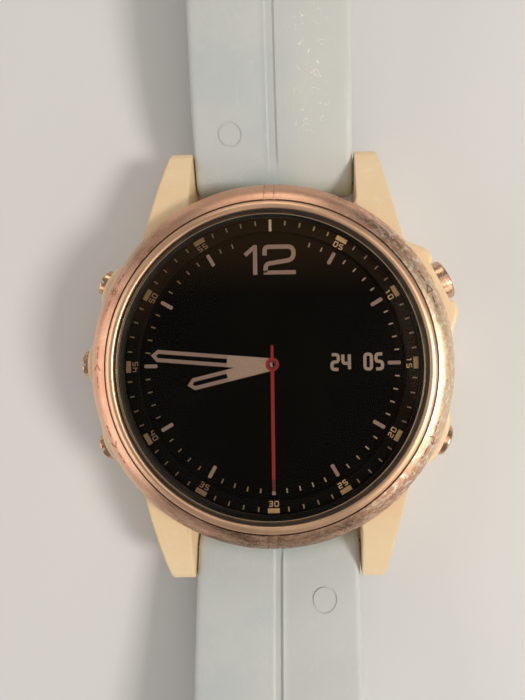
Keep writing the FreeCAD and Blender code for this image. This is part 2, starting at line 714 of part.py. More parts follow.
def strap_with_pocket(length, bend, loop):
    """Strap half with the insert's pocket, the pin hole and a finger recess on the skin side."""
    half_x, hook_r = INSERT_HALF_X + POCKET_GAP, HOOK_R + POCKET_GAP
    pocket = rod_x(hook_r, -half_x, half_x)
    pocket = pocket.fuse(box(-half_x, half_x, 0.0, INSERT_LENGTH + POCKET_GAP,
                             -4.0, INSERT_TOP + POCKET_GAP))
    pocket = pocket.fuse(box(-half_x, half_x, -hook_r, 0.0, -4.0, 0.0))
    strap = strap_blank(length, bend, loop)
    strap = strap.cut(pocket).cut(hook_mouth()).cut(rod_x(PIN_R + 0.15, -12, 12))
    return strap.cut(box(-3.6, 3.6, 8.9, 10.2, -4.0, -1.0))


def make_upper_strap():
    strap = strap_with_pocket(UPPER_LENGTH, UPPER_BEND, True)
    # bore for the buckle bar and slot for the tongue
    for tool in (rod_x(BAR_R + 0.005, -12, 12), box(-1.75, 1.75, -2.4, 3.0, -4, 4)):
        strap = strap.cut(at_station(tool, UPPER_LENGTH, UPPER_BEND))
    return strap


def make_lower_strap():
    strap = strap_with_pocket(LOWER_LENGTH, LOWER_BEND, False)
    hole = rounded_box(-HOLE_WIDTH / 2, HOLE_WIDTH / 2, -HOLE_LENGTH / 2, HOLE_LENGTH / 2,
                       -4, 4, 0.9)
    for k in range(HOLE_COUNT):
        strap = strap.cut(at_station(hole, HOLE_START + k * HOLE_PITCH, LOWER_BEND))
    # waste around the half-round tip
    tip_r = STRAP_W / 2
    waste = box(-12, 12, -tip_r, 2, -5, 5).cut(rod_z(tip_r, -6, 6, 0, -tip_r))
    waste = waste.cut(box(-12, 12, -12, -tip_r, -6, 6))
    return strap.cut(at_station(waste, LOWER_LENGTH, LOWER_BEND))


def make_connector():
    """Rigid insert: a hook around the lug pin and a plate inside the strap's end."""
    half_x = INSERT_HALF_X
    insert = rod_x(HOOK_R, -half_x, half_x)
    insert = insert.fuse(box(-half_x, half_x, 0.0, INSERT_LENGTH, -2.0, INSERT_TOP))
    insert = insert.fuse(box(-half_x, half_x, -HOOK_R, 0.0, -1.55, 0.0))
    insert = insert.cut(rod_x(PIN_R + FIT, -12, 12)).cut(hook_mouth())
    latch_room = box(-LATCH_HALF_X - 0.06, LATCH_HALF_X + 0.06, -2.5, 8.3, -2.6, -0.86)
    spring_room = box(-0.9, 0.9, 2.0, 8.0, -1.0, 0.2)
    return insert.cut(latch_room).cut(spring_room).removeSplitter()


def make_latch():
    """Plate whose nose closes the hook's mouth, with a finger ridge and a spring lug."""
    plate = box(-LATCH_HALF_X, LATCH_HALF_X, -1.35, 5.7, -1.75, -0.92)
    ridge = box(-3.0, 3.0, 4.0, 5.3, -2.35, -1.7)
    ridge = soften(ridge, [e for e in ridge.Edges if e.BoundBox.ZMax < -2.3], [0.3, 0.2])
    return plate.fuse(ridge).fuse(box(-0.7, 0.7, 2.3, 3.1, -1.0, 0.0)).removeSplitter()


def make_latch_spring():
    spring = coil(radius=0.42, half_wire=0.1, length=4.6, turns=7)
    spring.rotate(ORIGIN, X_AXIS, -90)
    spring.translate(Vector(0, 3.2, -0.36))
    return spring


# ---------------------------------------------------------------- buckle and keepers
# the buckle parts are drawn around the buckle bar, which lies at the upper half's far end
BAR_R = 0.75
BUCKLE_IN_X = 10.3
BUCKLE_OUT_X = 12.1
BUCKLE_LENGTH = 10.8
# name, station, clearance around the strap
KEEPERS = (("fixed_keeper", 64.0, 0.02), ("sliding_keeper", 52.5, 0.16))


def make_buckle_bar():
    half_x = BUCKLE_OUT_X - 0.3
    return rod_x(BAR_R, -half_x, half_x)


def make_buckle_frame():
    """Two arms and a cross bar."""
    frame = box(-BUCKLE_OUT_X, BUCKLE_OUT_X, -1.8, BUCKLE_LENGTH, -1.55, 1.35)
    upright = [e for e in frame.Edges if abs(e.Vertexes[0].Z - e.Vertexes[1].Z) > 1]
    frame = soften(frame, upright, [1.7, 1.2])
    flat = [e for e in frame.Edges if e.BoundBox.ZLength < 1e-4]
    frame = soften(frame, flat, [0.6, 0.45, 0.3])
    opening = box(-BUCKLE_IN_X, BUCKLE_IN_X, -4.0, BUCKLE_LENGTH - 1.9, -3, 3)
    step = box(-BUCKLE_IN_X, BUCKLE_IN_X, BUCKLE_LENGTH - 2.0, BUCKLE_LENGTH + 1, 0.9, 3)
    frame = frame.cut(opening).cut(step).cut(rod_x(BAR_R + FIT, -13, 13))
    return frame.removeSplitter()


def make_buckle_tongue():
    blade = box(-1.3, 1.3, 0.0, BUCKLE_LENGTH + 0.35, 0.95, 1.6)
    tip = [e for e in blade.Edges if e.BoundBox.ZLength > 0.5 and e.BoundBox.YMin > 5]
    blade = soften(blade, tip, [0.9, 0.6])
    top = [e for e in blade.Edges if e.BoundBox.ZLength < 1e-4 and e.BoundBox.ZMin > 1.5
           and e.BoundBox.YMax > 1.0]
    blade = soften(blade, top, [0.28, 0.2])
    return rod_x(1.6, -1.5, 1.5).fuse(blade).cut(rod_x(BAR_R + FIT, -3, 3)).removeSplitter()


def make_keeper(clearance):
    """Loop around the strap, tall enough for the other half's free end."""
    half_x, floor_z = STRAP_W / 2 + clearance, -STRAP_BOTTOM - clearance
    outer = box(-half_x - 1.3, half_x + 1.3, -2.5, 2.5, floor_z - 1.2, 6.0)
    long_edges = [e for e in outer.Edges if abs(e.Vertexes[0].Y - e.Vertexes[1].Y) > 1]
    outer = soften(outer, long_edges, [1.4, 1.0])
    return outer.cut(box(-half_x, half_x, -3.5, 3.5, floor_z, 4.8))


# ---------------------------------------------------------------- all pieces
parts = {
    "bezel": make_bezel(),
    "lens": make_lens(),
    "lens_gasket": make_lens_gasket(),
    "minute_ring": make_minute_ring(),
    "display_panel": rod_z(DISPLAY_R, 12.42, 13.24),
    "display_backlight": rod_z(DISPLAY_R, 11.82, 12.4),
    "display_frame": make_display_frame(),
    "display_flex": make_display_flex(),
    "main_board": make_main_board(),
    "shield_cans": make_shield_cans(),
    "gps_antenna": make_gps_antenna(),
    "chassis": make_chassis(),
    "battery": make_battery(),
    "beeper": make_beeper(),
    "barometer": make_barometer(),
    "vibration_motor": make_vibration_motor(),
    "vibration_weight": make_vibration_weight(),
    "rear_cover": make_rear_cover(),
    "sensor_window": make_sensor_window(),
    "sensor_board": make_sensor_board(),
    "rear_screws": make_rear_screws(),
    "rear_gasket": make_rear_gasket(),
    "charge_port": make_charge_port(),
    "charge_contacts": make_charge_contacts(),
    "case": make_case(),
    "button_bushes": Part.makeCompound([make_bush(b[1], b[3]) for b in BUTTONS]),
    "button_o_rings": Part.makeCompound([make_o_ring(b[1], b[3]) for b in BUTTONS]),
    "tact_switches": Part.makeCompound([make_tact_switch(a) for a in BUTTON_ANGLES]),
    "button_flexes": Part.makeCompound([make_button_flex(a) for a in BUTTON_ANGLES]),
    "lug_pins": make_lug_pins(),
    "lug_screws": make_lug_screws(),
    "buckle_bar": on_upper(make_buckle_bar(), UPPER_LENGTH),
    "buckle_frame": on_upper(make_buckle_frame(), UPPER_LENGTH),
    "buckle_tongue": on_upper(make_buckle_tongue(), UPPER_LENGTH),
}
for name, angle, cap_r, floor_x, root_x, face_x in BUTTONS:
    parts[name + "_button"] = make_button(angle, cap_r, root_x, face_x)
    parts[name + "_clip"] = make_clip(angle)
    parts[name + "_spring"] = make_button_spring(angle, floor_x, root_x)
for name, station, clearance in KEEPERS:
    parts[name] = on_upper(make_keeper(clearance), station)
for half, strap, slope, lower in (("upper", make_upper_strap(), UPPER_SLOPE, False),
                                  ("lower", make_lower_strap(), LOWER_SLOPE, True)):
    parts[half + "_strap"] = placed(strap, slope, lower)
    parts[half + "_connector"] = placed(make_connector(), slope, lower)
    parts[half + "_latch"] = placed(make_latch(), slope, lower)
    parts[half + "_latch_spring"] = placed(make_latch_spring(), slope, lower)

# one STEP file per piece, as a bare solid or a flat compound of solids
os.makedirs("parts", exist_ok=True)
for name, shape in parts.items():
    solids = shape.Solids
    piece = solids[0] if len(solids) == 1 else Part.makeCompound(solids)
    piece.exportStep("parts/" + name + ".step")
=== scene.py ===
import json
import math
import bpy
import bmesh
from mathutils import Matrix, Vector

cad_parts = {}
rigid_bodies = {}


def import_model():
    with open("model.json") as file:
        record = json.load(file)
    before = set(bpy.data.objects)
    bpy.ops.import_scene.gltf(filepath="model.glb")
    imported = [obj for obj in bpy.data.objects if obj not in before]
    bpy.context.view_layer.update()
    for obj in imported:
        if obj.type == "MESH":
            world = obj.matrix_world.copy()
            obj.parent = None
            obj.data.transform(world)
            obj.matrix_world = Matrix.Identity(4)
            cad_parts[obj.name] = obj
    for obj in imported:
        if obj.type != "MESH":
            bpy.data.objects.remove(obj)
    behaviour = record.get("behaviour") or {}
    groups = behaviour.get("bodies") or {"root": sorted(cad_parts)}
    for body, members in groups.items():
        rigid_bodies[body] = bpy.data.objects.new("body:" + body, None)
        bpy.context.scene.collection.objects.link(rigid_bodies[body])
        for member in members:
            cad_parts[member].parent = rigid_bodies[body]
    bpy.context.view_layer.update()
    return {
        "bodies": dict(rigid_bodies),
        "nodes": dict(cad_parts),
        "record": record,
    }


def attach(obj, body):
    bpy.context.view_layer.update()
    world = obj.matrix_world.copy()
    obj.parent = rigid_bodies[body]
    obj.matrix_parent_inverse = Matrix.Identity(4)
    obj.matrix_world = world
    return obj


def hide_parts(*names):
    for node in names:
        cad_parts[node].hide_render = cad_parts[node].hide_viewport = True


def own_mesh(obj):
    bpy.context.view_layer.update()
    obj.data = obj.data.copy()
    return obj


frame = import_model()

NODES = frame["nodes"]
MM = 0.001


# =============================================================== colours and node helpers
def srgb(r, g, b, a=1.0):
    def lin(c):
        c /= 255.0
        return c / 12.92 if c <= 0.04045 else ((c + 0.055) / 1.055) ** 2.4
    return (lin(r), lin(g), lin(b), a)


class Tree:
    """Short-hand for building one node material. Coordinates are the object's own, in millimetres."""

    def __init__(self, name):
        self.m = bpy.data.materials.new(name)
        self.m.use_nodes = True
        self.nt = self.m.node_tree
        self.nt.nodes.clear()
        self.out = self.nt.nodes.new("ShaderNodeOutputMaterial")
        self.b = self.nt.nodes.new("ShaderNodeBsdfPrincipled")
        self.link(self.b.outputs[0], self.out.inputs["Surface"])
        tc = self.nt.nodes.new("ShaderNodeTexCoord")
        self.p = self.vmath("SCALE", tc.outputs["Object"], scale=1000.0)
        self.n = 0

    def link(self, a, b):
        self.nt.links.new(a, b)

    def put(self, sock, value):
        if isinstance(value, bpy.types.NodeSocket):
            self.link(value, sock)
        elif value is not None:
            sock.default_value = value

    def set(self, **kw):
        for k, v in kw.items():
            self.put(self.b.inputs[k.replace("_", " ")], v)
        return self

    def vmath(self, op, a, b=None, scale=None):
        n = self.nt.nodes.new("ShaderNodeVectorMath")
        n.operation = op
        self.put(n.inputs[0], a)
        if b is not None:
            self.put(n.inputs[1], b)
        if scale is not None:
            n.inputs["Scale"].default_value = scale
        return n.outputs["Value"] if op in ("LENGTH", "DOT_PRODUCT") else n.outputs[0]

    def math(self, op, a, b=None, c=None, clamp=False):
        n = self.nt.nodes.new("ShaderNodeMath")
        n.operation = op
        n.use_clamp = clamp
        self.put(n.inputs[0], a)
        if b is not None:
            self.put(n.inputs[1], b)
        if c is not None:
            self.put(n.inputs[2], c)
        return n.outputs[0]

    def xyz(self, v=None):
        n = self.nt.nodes.new("ShaderNodeSeparateXYZ")
        self.link(v or self.p, n.inputs[0])
        return n.outputs

    def vec(self, x, y, z):
        n = self.nt.nodes.new("ShaderNodeCombineXYZ")
        for s, v in zip(n.inputs, (x, y, z)):
            self.put(s, v)
        return n.outputs[0]

    def step(self, x, lo, hi, a=0.0, b=1.0):
        n = self.nt.nodes.new("ShaderNodeMapRange")
        n.interpolation_type = "SMOOTHSTEP"
        self.put(n.inputs["Value"], x)
        for k, v in (("From Min", lo), ("From Max", hi), ("To Min", a), ("To Max", b)):
            self.put(n.inputs[k], v)
        return n.outputs["Result"]

    def noise(self, v=None, scale=1.0, detail=3.0, rough=0.5, dist=0.0):
        n = self.nt.nodes.new("ShaderNodeTexNoise")
        self.link(v or self.p, n.inputs["Vector"])
        n.inputs["Scale"].default_value = scale
        n.inputs["Detail"].default_value = detail
        n.inputs["Roughness"].default_value = rough
        n.inputs["Distortion"].default_value = dist
        return n.outputs["Fac"]

    def cells(self, v=None, scale=1.0, feature="DISTANCE_TO_EDGE"):
        n = self.nt.nodes.new("ShaderNodeTexVoronoi")
        n.feature = feature
        self.link(v or self.p, n.inputs["Vector"])
        n.inputs["Scale"].default_value = scale
        return n.outputs["Distance"]

    def mix(self, f, a, b):
        n = self.nt.nodes.new("ShaderNodeMix")
        n.data_type = "RGBA"
        self.put(n.inputs["Factor"], f)
        self.put(n.inputs["A"], a)
        self.put(n.inputs["B"], b)
        return n.outputs["Result"]

    def bump(self, height, strength=0.2, dist=0.02):
        n = self.nt.nodes.new("ShaderNodeBump")
        n.inputs["Strength"].default_value = strength
        n.inputs["Distance"].default_value = dist * MM
        self.put(n.inputs["Height"], height)
        self.link(n.outputs[0], self.b.inputs["Normal"])
        return n

    def bevel(self, radius_mm):
        """Shade crisp edges as if they were slightly rounded."""
        n = self.nt.nodes.new("ShaderNodeBevel")
        n.samples = 6
        n.inputs["Radius"].default_value = radius_mm * MM
        tgt = self.b.inputs["Normal"]
        if tgt.is_linked:
            bump = tgt.links[0].from_node
            self.link(n.outputs[0], bump.inputs["Normal"])
        else:
            self.link(n.outputs[0], tgt)

    def turn(self, deg, v=None):
        n = self.nt.nodes.new("ShaderNodeVectorRotate")
        n.rotation_type = "Z_AXIS"
        self.link(v or self.p, n.inputs["Vector"])
        n.inputs["Angle"].default_value = math.radians(deg)
        return n.outputs[0]

    def scratch_lines(self, density=0.22, width=0.05, seeds=((20, 5.0), (-35, 17.0), (80, 41.0)), keep=0.52):
        """Fine scratches: a few families of long thin lines, broken up and sparse."""
        total = None
        for deg, off in seeds:
            v = self.turn(deg)
            wob = self.noise(v, 0.25, 2.0)
            s = self.xyz(v)
            x = self.math("ADD", s[0], self.math("MULTIPLY", wob, 2.2))
            cell = self.cells(self.vec(self.math("MULTIPLY", x, density * 4), self.math("MULTIPLY", s[1], density * 0.35), off), 1.0)
            line = self.step(cell, 0.0, width, 1.0, 0.0)
            gate = self.step(self.noise(self.vmath("ADD", v, (off, off, off)), 0.45, 2.0), keep, keep + 0.06)
            line = self.math("MULTIPLY", line, gate)
            total = line if total is None else self.math("MAXIMUM", total, line)
        return total


MATS = {}


def rose_steel(name, brushed=True, tint=(230, 183, 156)):
    """Rose-gold coated steel: circular brushing outside the groove, polish inside it, a darker line in the groove,
    wear, and painted reflections and a painted highlight round the band.
    """
    t = Tree(name)
    x, y, z = t.xyz()
    r = t.vmath("LENGTH", t.vec(x, y, 0.0))
    ang = t.math("ARCTAN2", y, x)
    base = srgb(*tint)
    pale = srgb(250, 224, 192)
    cloud = t.noise(scale=0.18, detail=3.0)
    if brushed:
        ca, sa = t.math("DIVIDE", x, r), t.math("DIVIDE", y, r)
        polar = t.vec(t.math("MULTIPLY", r, 7.0), t.math("MULTIPLY", ang, 5.0), t.math("MULTIPLY", z, 7.0))
        grain = t.noise(polar, 1.0, 4.0, 0.6)
        inner = t.step(r, 18.62, 18.55)
        lip = t.math("MULTIPLY", t.step(r, 18.50, 18.58), t.step(r, 18.76, 18.82, 1.0, 0.0))
        # painted dark reflections low down and at the upper left and right, and a painted highlight at the right;
        # scratches also show more low down and at the right
        low = t.step(sa, -0.55, -0.97)
        right_wear_and_highlight = t.step(ca, 0.72, 1.0)
        edge = t.step(r, 19.6, 20.95)
        blot = t.noise(t.vec(t.math("MULTIPLY", ang, 3.2), t.math("MULTIPLY", r, 0.7), 3.0), 1.0, 3.0, 0.55)
        upl = t.math("MULTIPLY", t.step(t.math("ADD", t.math("MULTIPLY", ca, -0.82), t.math("MULTIPLY", sa, 0.57)), 0.90, 0.99), 0.7)
        upr = t.math("MULTIPLY", t.step(t.math("ADD", t.math("MULTIPLY", ca, 0.60), t.math("MULTIPLY", sa, 0.80)), 0.93, 0.995), 0.6)
        scr = t.scratch_lines(0.30, 0.05, keep=0.50)
        fine = t.scratch_lines(0.85, 0.06, seeds=((12, 2.0), (64, 9.0), (-50, 23.0), (108, 31.0)), keep=0.47)
        wear = t.math("ADD", t.math("MULTIPLY", right_wear_and_highlight, 0.8), t.math("MULTIPLY", low, 0.55), clamp=True)
        spot = t.step(t.cells(scale=0.9, feature="F1"), 0.10, 0.04)
        spot = t.math("MULTIPLY", spot, t.step(t.noise(scale=0.5), 0.55, 0.62))
        col = t.mix(t.step(cloud, 0.35, 0.7), base, srgb(222, 170, 142))
        # painted dark reflection: blotchy darkening low down and at the upper left and right of the band
        painted_dark_reflection = t.math("MULTIPLY", t.step(blot, 0.36, 0.60), t.math("ADD", t.math("MULTIPLY", low, 0.95), t.math("ADD", upl, upr), clamp=True))
        col = t.mix(t.math("MULTIPLY", painted_dark_reflection, 0.85), col, srgb(104, 72, 52))
        # painted dark reflection along the outer edge at the bottom
        col = t.mix(t.math("MULTIPLY", t.math("MULTIPLY", t.step(sa, -0.80, -0.95), edge), 0.75), col, srgb(66, 44, 32))
        # painted pale reflection along the outer edge on the left
        far = t.step(ca, -0.55, -0.9)
        col = t.mix(t.math("MULTIPLY", t.math("MULTIPLY", edge, far), 0.7), col, srgb(255, 214, 186))
        # painted darker reflection along the rest of the outer edge
        col = t.mix(t.math("MULTIPLY", edge, t.math("MULTIPLY", t.math("SUBTRACT", 1.0, far), 0.2)), col, srgb(196, 146, 118))
        # painted highlight: the right of the band is lightened
        col = t.mix(t.math("MULTIPLY", right_wear_and_highlight, 0.55), col, srgb(244, 226, 190))
        # the rubbed side is covered in fine nicks: bright flecks next to darker ones
        nick = t.noise(t.vec(t.math("MULTIPLY", r, 2.6), t.math("MULTIPLY", ang, 26.0), t.math("MULTIPLY", z, 2.6)), 1.0, 5.0, 0.72)
        side = t.step(ca, 0.30, 0.80)
        col = t.mix(t.math("MULTIPLY", t.math("MULTIPLY", t.step(nick, 0.51, 0.58), side), 0.9), col, srgb(255, 250, 232))
        col = t.mix(t.math("MULTIPLY", t.math("MULTIPLY", t.step(nick, 0.45, 0.37), side), 0.40), col, srgb(168, 136, 104))
        col = t.mix(inner, col, srgb(240, 198, 164))
        line = t.math("MAXIMUM", t.math("MULTIPLY", scr, 0.30), t.math("MULTIPLY", fine, t.math("ADD", 0.10, t.math("MULTIPLY", wear, 0.75))))
        line = t.math("MULTIPLY", line, t.math("SUBTRACT", 1.0, t.math("MULTIPLY", inner, 0.8)))
        col = t.mix(line, col, pale)
        col = t.mix(t.math("MULTIPLY", spot, 0.45), col, pale)
        col = t.mix(t.math("MULTIPLY", t.math("MULTIPLY", t.step(grain, 0.4, 0.7), 0.14), t.math("SUBTRACT", 1.0, inner)), col, srgb(176, 128, 104))
        # a darker line in the groove
        col = t.mix(t.math("MULTIPLY", lip, 0.7), col, srgb(98, 60, 38))
        rough = t.math("ADD", t.math("MULTIPLY", grain, 0.20), 0.24)
        rough = t.math("ADD", rough, t.math("MULTIPLY", inner, 0.02))
        rough = t.math("ADD", rough, t.math("MULTIPLY", t.step(cloud, 0.4, 0.65), 0.06))
        rough = t.math("ADD", rough, t.math("MULTIPLY", line, 0.18), clamp=True)
        t.set(Base_Color=col, Metallic=1.0, Roughness=rough)
        h = t.math("SUBTRACT", t.math("MULTIPLY", grain, t.math("SUBTRACT", 1.0, inner)), t.math("MULTIPLY", line, 0.8))
        h = t.math("ADD", h, t.math("MULTIPLY", t.math("MULTIPLY", nick, side), t.math("SUBTRACT", 2.2, t.math("MULTIPLY", inner, 2.2))))
        t.bump(h, 0.30, 0.014)
    else:
        grain = t.noise(t.vec(t.math("MULTIPLY", x, 2.0), t.math("MULTIPLY", y, 12.0), t.math("MULTIPLY", z, 12.0)), 1.0, 3.0, 0.6)
        scr = t.scratch_lines(0.5, 0.05)
        col = t.mix(t.step(cloud, 0.35, 0.7), base, srgb(214, 168, 140))
        col = t.mix(t.math("MULTIPLY", scr, 0.4), col, pale)
        rough = t.math("ADD", t.math("MULTIPLY", grain, 0.18), 0.14)
        t.set(Base_Color=col, Metallic=1.0, Roughness=t.math("ADD", rough, t.math("MULTIPLY", scr, 0.2), clamp=True))
        t.bump(t.math("SUBTRACT", grain, scr), 0.2, 0.01)
        t.bevel(0.12)
    return t.m


def polymer(name, rgb, rough=0.46, fine=6.0, shade=None, spec=0.5):
    """Moulded plastic: fine spark-eroded grain, faint flow clouds."""
    t = Tree(name)
    x, y, z = t.xyz()
    g = t.noise(scale=fine, detail=4.0, rough=0.6)
    cloud = t.noise(scale=0.12, detail=3.0)
    a = srgb(*rgb)
    b = srgb(*(shade or [c * 0.92 for c in rgb]))
    col = t.mix(t.step(cloud, 0.3, 0.75), a, b)
    r = t.vmath("LENGTH", t.vec(x, y, 0.0))
    t.set(Base_Color=col, Roughness=t.math("ADD", t.math("MULTIPLY", g, 0.18), rough - 0.09), Specular_IOR_Level=spec)
    t.bump(g, 0.18, 0.02)
    t.r, t.col = r, col
    return t


def case_material():
    t = polymer("cream_polymer", (243, 219, 181), 0.40, 5.0, (238, 211, 170))
    x, y, z = t.xyz()
    # painted pinkish reflection of the bezel and painted shade on the case next to the bezel
    near = t.math("MULTIPLY", t.step(t.r, 22.4, 20.6), t.step(z, 9.2, 11.0))
    col = t.mix(t.math("MULTIPLY", near, 0.45), t.col, srgb(222, 176, 140))
    # blotchy darkening towards the bottom of the case
    low_blotch = t.math("MULTIPLY", t.step(t.noise(scale=0.5, detail=5.0, rough=0.7), 0.55, 0.8), t.step(z, 9.0, 3.0))
    col = t.mix(t.math("MULTIPLY", low_blotch, 0.35), col, srgb(196, 172, 138))
    scr = t.scratch_lines(0.4, 0.04, keep=0.56)
    col = t.mix(t.math("MULTIPLY", scr, 0.25), col, srgb(252, 244, 226))
    t.set(Base_Color=col)
    t.b.inputs["Subsurface Weight"].default_value = 0.06
    t.b.inputs["Subsurface Radius"].default_value = (0.0012, 0.0009, 0.0005)
    t.b.inputs["Subsurface Scale"].default_value = 1.0
    t.bevel(0.38)
    return t.m


def silicone(name, rgb=(192, 200, 204)):
    """Satin silicone: very fine matt grain, soft colour drift, dust specks and light rubbing marks, with a painted
    shadow of the bezel near the case ends and a painted sheen on the right of the upper half.
    """
    t = Tree(name)
    x, y, z = t.xyz()
    g = t.noise(scale=9.0, detail=4.0, rough=0.65)
    cloud = t.noise(scale=0.09, detail=4.0, rough=0.55)
    col = t.mix(t.step(cloud, 0.3, 0.72), srgb(*rgb), srgb(rgb[0] + 9, rgb[1] + 6, rgb[2] + 2))
    ay = t.math("ABSOLUTE", y)
    # painted shadow of the bezel: darker teal near the case ends of both halves
    near = t.step(t.math("SUBTRACT", ay, t.math("MULTIPLY", t.math("MULTIPLY", x, x), -0.028)), 25.2, 21.8)
    col = t.mix(t.math("MULTIPLY", near, 0.8), col, srgb(146, 166, 168))
    # painted sheen: the right of the upper half near the case is lightened
    painted_sheen = t.math("MULTIPLY", t.step(x, -0.6, 5.0), t.step(y, 8.0, 24.0))
    col = t.mix(t.math("MULTIPLY", painted_sheen, 0.5), col, srgb(214, 216, 210))
    scr = t.scratch_lines(0.30, 0.045, seeds=((8, 3.0), (-24, 11.0), (50, 29.0)), keep=0.55)
    col = t.mix(t.math("MULTIPLY", scr, 0.14), col, srgb(222, 228, 228))
    dust = t.step(t.cells(scale=1.3, feature="F1"), 0.055, 0.03)
    dust = t.math("MULTIPLY", dust, t.step(t.noise(scale=0.7), 0.56, 0.62))
    col = t.mix(t.math("MULTIPLY", dust, 0.5), col, srgb(238, 236, 228))
    # a patch of fine curved scuffs on the outer face of the buckle half
    wig = t.math("ABSOLUTE", t.math("SUBTRACT", t.noise(scale=0.42, detail=3.0, rough=0.6), 0.5))
    patch = t.math("MULTIPLY", t.math("MULTIPLY", t.step(x, 2.2, 3.6), t.step(x, 7.6, 6.2)), t.math("MULTIPLY", t.step(y, 27.0, 31.0), t.step(y, 50.0, 43.0)))
    scuff = t.math("MULTIPLY", t.math("MULTIPLY", t.step(wig, 0.016, 0.006), patch), t.step(t.noise(scale=0.9), 0.48, 0.56))
    col = t.mix(t.math("MULTIPLY", scuff, 0.75), col, srgb(246, 242, 232))
    rough = t.math("ADD", 0.40, t.math("MULTIPLY", g, 0.14))
    rough = t.math("ADD", rough, t.math("MULTIPLY", t.step(cloud, 0.4, 0.7), 0.08))
    rough = t.math("SUBTRACT", rough, t.math("MULTIPLY", scr, 0.10))
    t.set(Base_Color=col, Roughness=rough, Specular_IOR_Level=0.45)
    t.b.inputs["Sheen Weight"].default_value = 0.12
    t.b.inputs["Sheen Roughness"].default_value = 0.4
    t.b.inputs["Subsurface Weight"].default_value = 0.05
    t.b.inputs["Subsurface Radius"].default_value = (0.0008, 0.001, 0.0012)
    t.b.inputs["Subsurface Scale"].default_value = 1.0
    t.bump(t.math("SUBTRACT", g, t.math("MULTIPLY", t.math("MAXIMUM", scr, scuff), 0.6)), 0.16, 0.02)
    return t.m


def plain_metal(name, rgb, rough=0.3, along="x", metallic=1.0):
    t = Tree(name)
    x, y, z = t.xyz()
    k = {"x": (1.5, 22, 22), "y": (22, 1.5, 22), "n": (7, 7, 7)}[along]
    g = t.noise(t.vec(t.math("MULTIPLY", x, k[0]), t.math("MULTIPLY", y, k[1]), t.math("MULTIPLY", z, k[2])), 1.0, 3.0, 0.6)
    cloud = t.noise(scale=0.4, detail=3.0)
    col = t.mix(t.step(cloud, 0.3, 0.7), srgb(*rgb), srgb(*[c * 0.88 for c in rgb]))
    t.set(Base_Color=col, Metallic=metallic, Roughness=t.math("ADD", rough - 0.08, t.math("MULTIPLY", g, 0.2)))
    t.bump(g, 0.2, 0.01)
    return t.m


def printed(name, rgb, rough=0.55, glow=0.0, left=None):
    """Printed marks under the glass: slightly uneven ink, painted shade dimmer towards the left if asked, and a faint
    painted glow if asked.
    """
    t = Tree(name)
    g = t.noise(scale=7.0, detail=2.0)
    a, b = srgb(*rgb), srgb(*[c * 0.9 for c in rgb])
    col = t.mix(t.step(g, 0.35, 0.65), a, b)
    if left:
        x, y, z = t.xyz()
        # painted shade: darker towards the left
        col = t.mix(t.step(x, 6.0, -9.0), col, srgb(*left))
    t.set(Base_Color=col, Roughness=rough)
    # painted glow: the marks emit a little light of their own colour
    if glow:
        t.link(col, t.b.inputs["Emission Color"])
        t.b.inputs["Emission Strength"].default_value = glow
    return t.m


def dark_gloss(name, rgb, rough=0.12, spec=0.25, painted_reflection=None):
    """Glossy black; the optional tint is a faint olive-brown painted reflection towards the top and the right."""
    t = Tree(name)
    x, y, z = t.xyz()
    g = t.noise(scale=0.22, detail=3.0)
    col = t.mix(t.step(g, 0.35, 0.75), srgb(*rgb), srgb(*[min(255, c * 1.3 + 1) for c in rgb]))
    if painted_reflection:
        # painted reflection: olive-brown tint at the top and round the right of the rim
        tone, k = painted_reflection
        top = t.step(y, 7.5, 14.5)
        r = t.vmath("LENGTH", t.vec(x, y, 0.0))
        way = t.math("DIVIDE", t.math("ADD", t.math("MULTIPLY", x, 0.42), t.math("MULTIPLY", y, 0.91)), t.math("MAXIMUM", r, 1.0))
        rim = t.math("MULTIPLY", t.step(way, -0.35, 0.15), t.step(r, 14.2, 16.6))
        f = t.math("MAXIMUM", top, rim)
        col = t.mix(t.math("MULTIPLY", f, k), col, srgb(*tone))
    t.set(Base_Color=col, Roughness=t.math("ADD", rough, t.math("MULTIPLY", g, 0.06)), Specular_IOR_Level=spec)
    return t.m


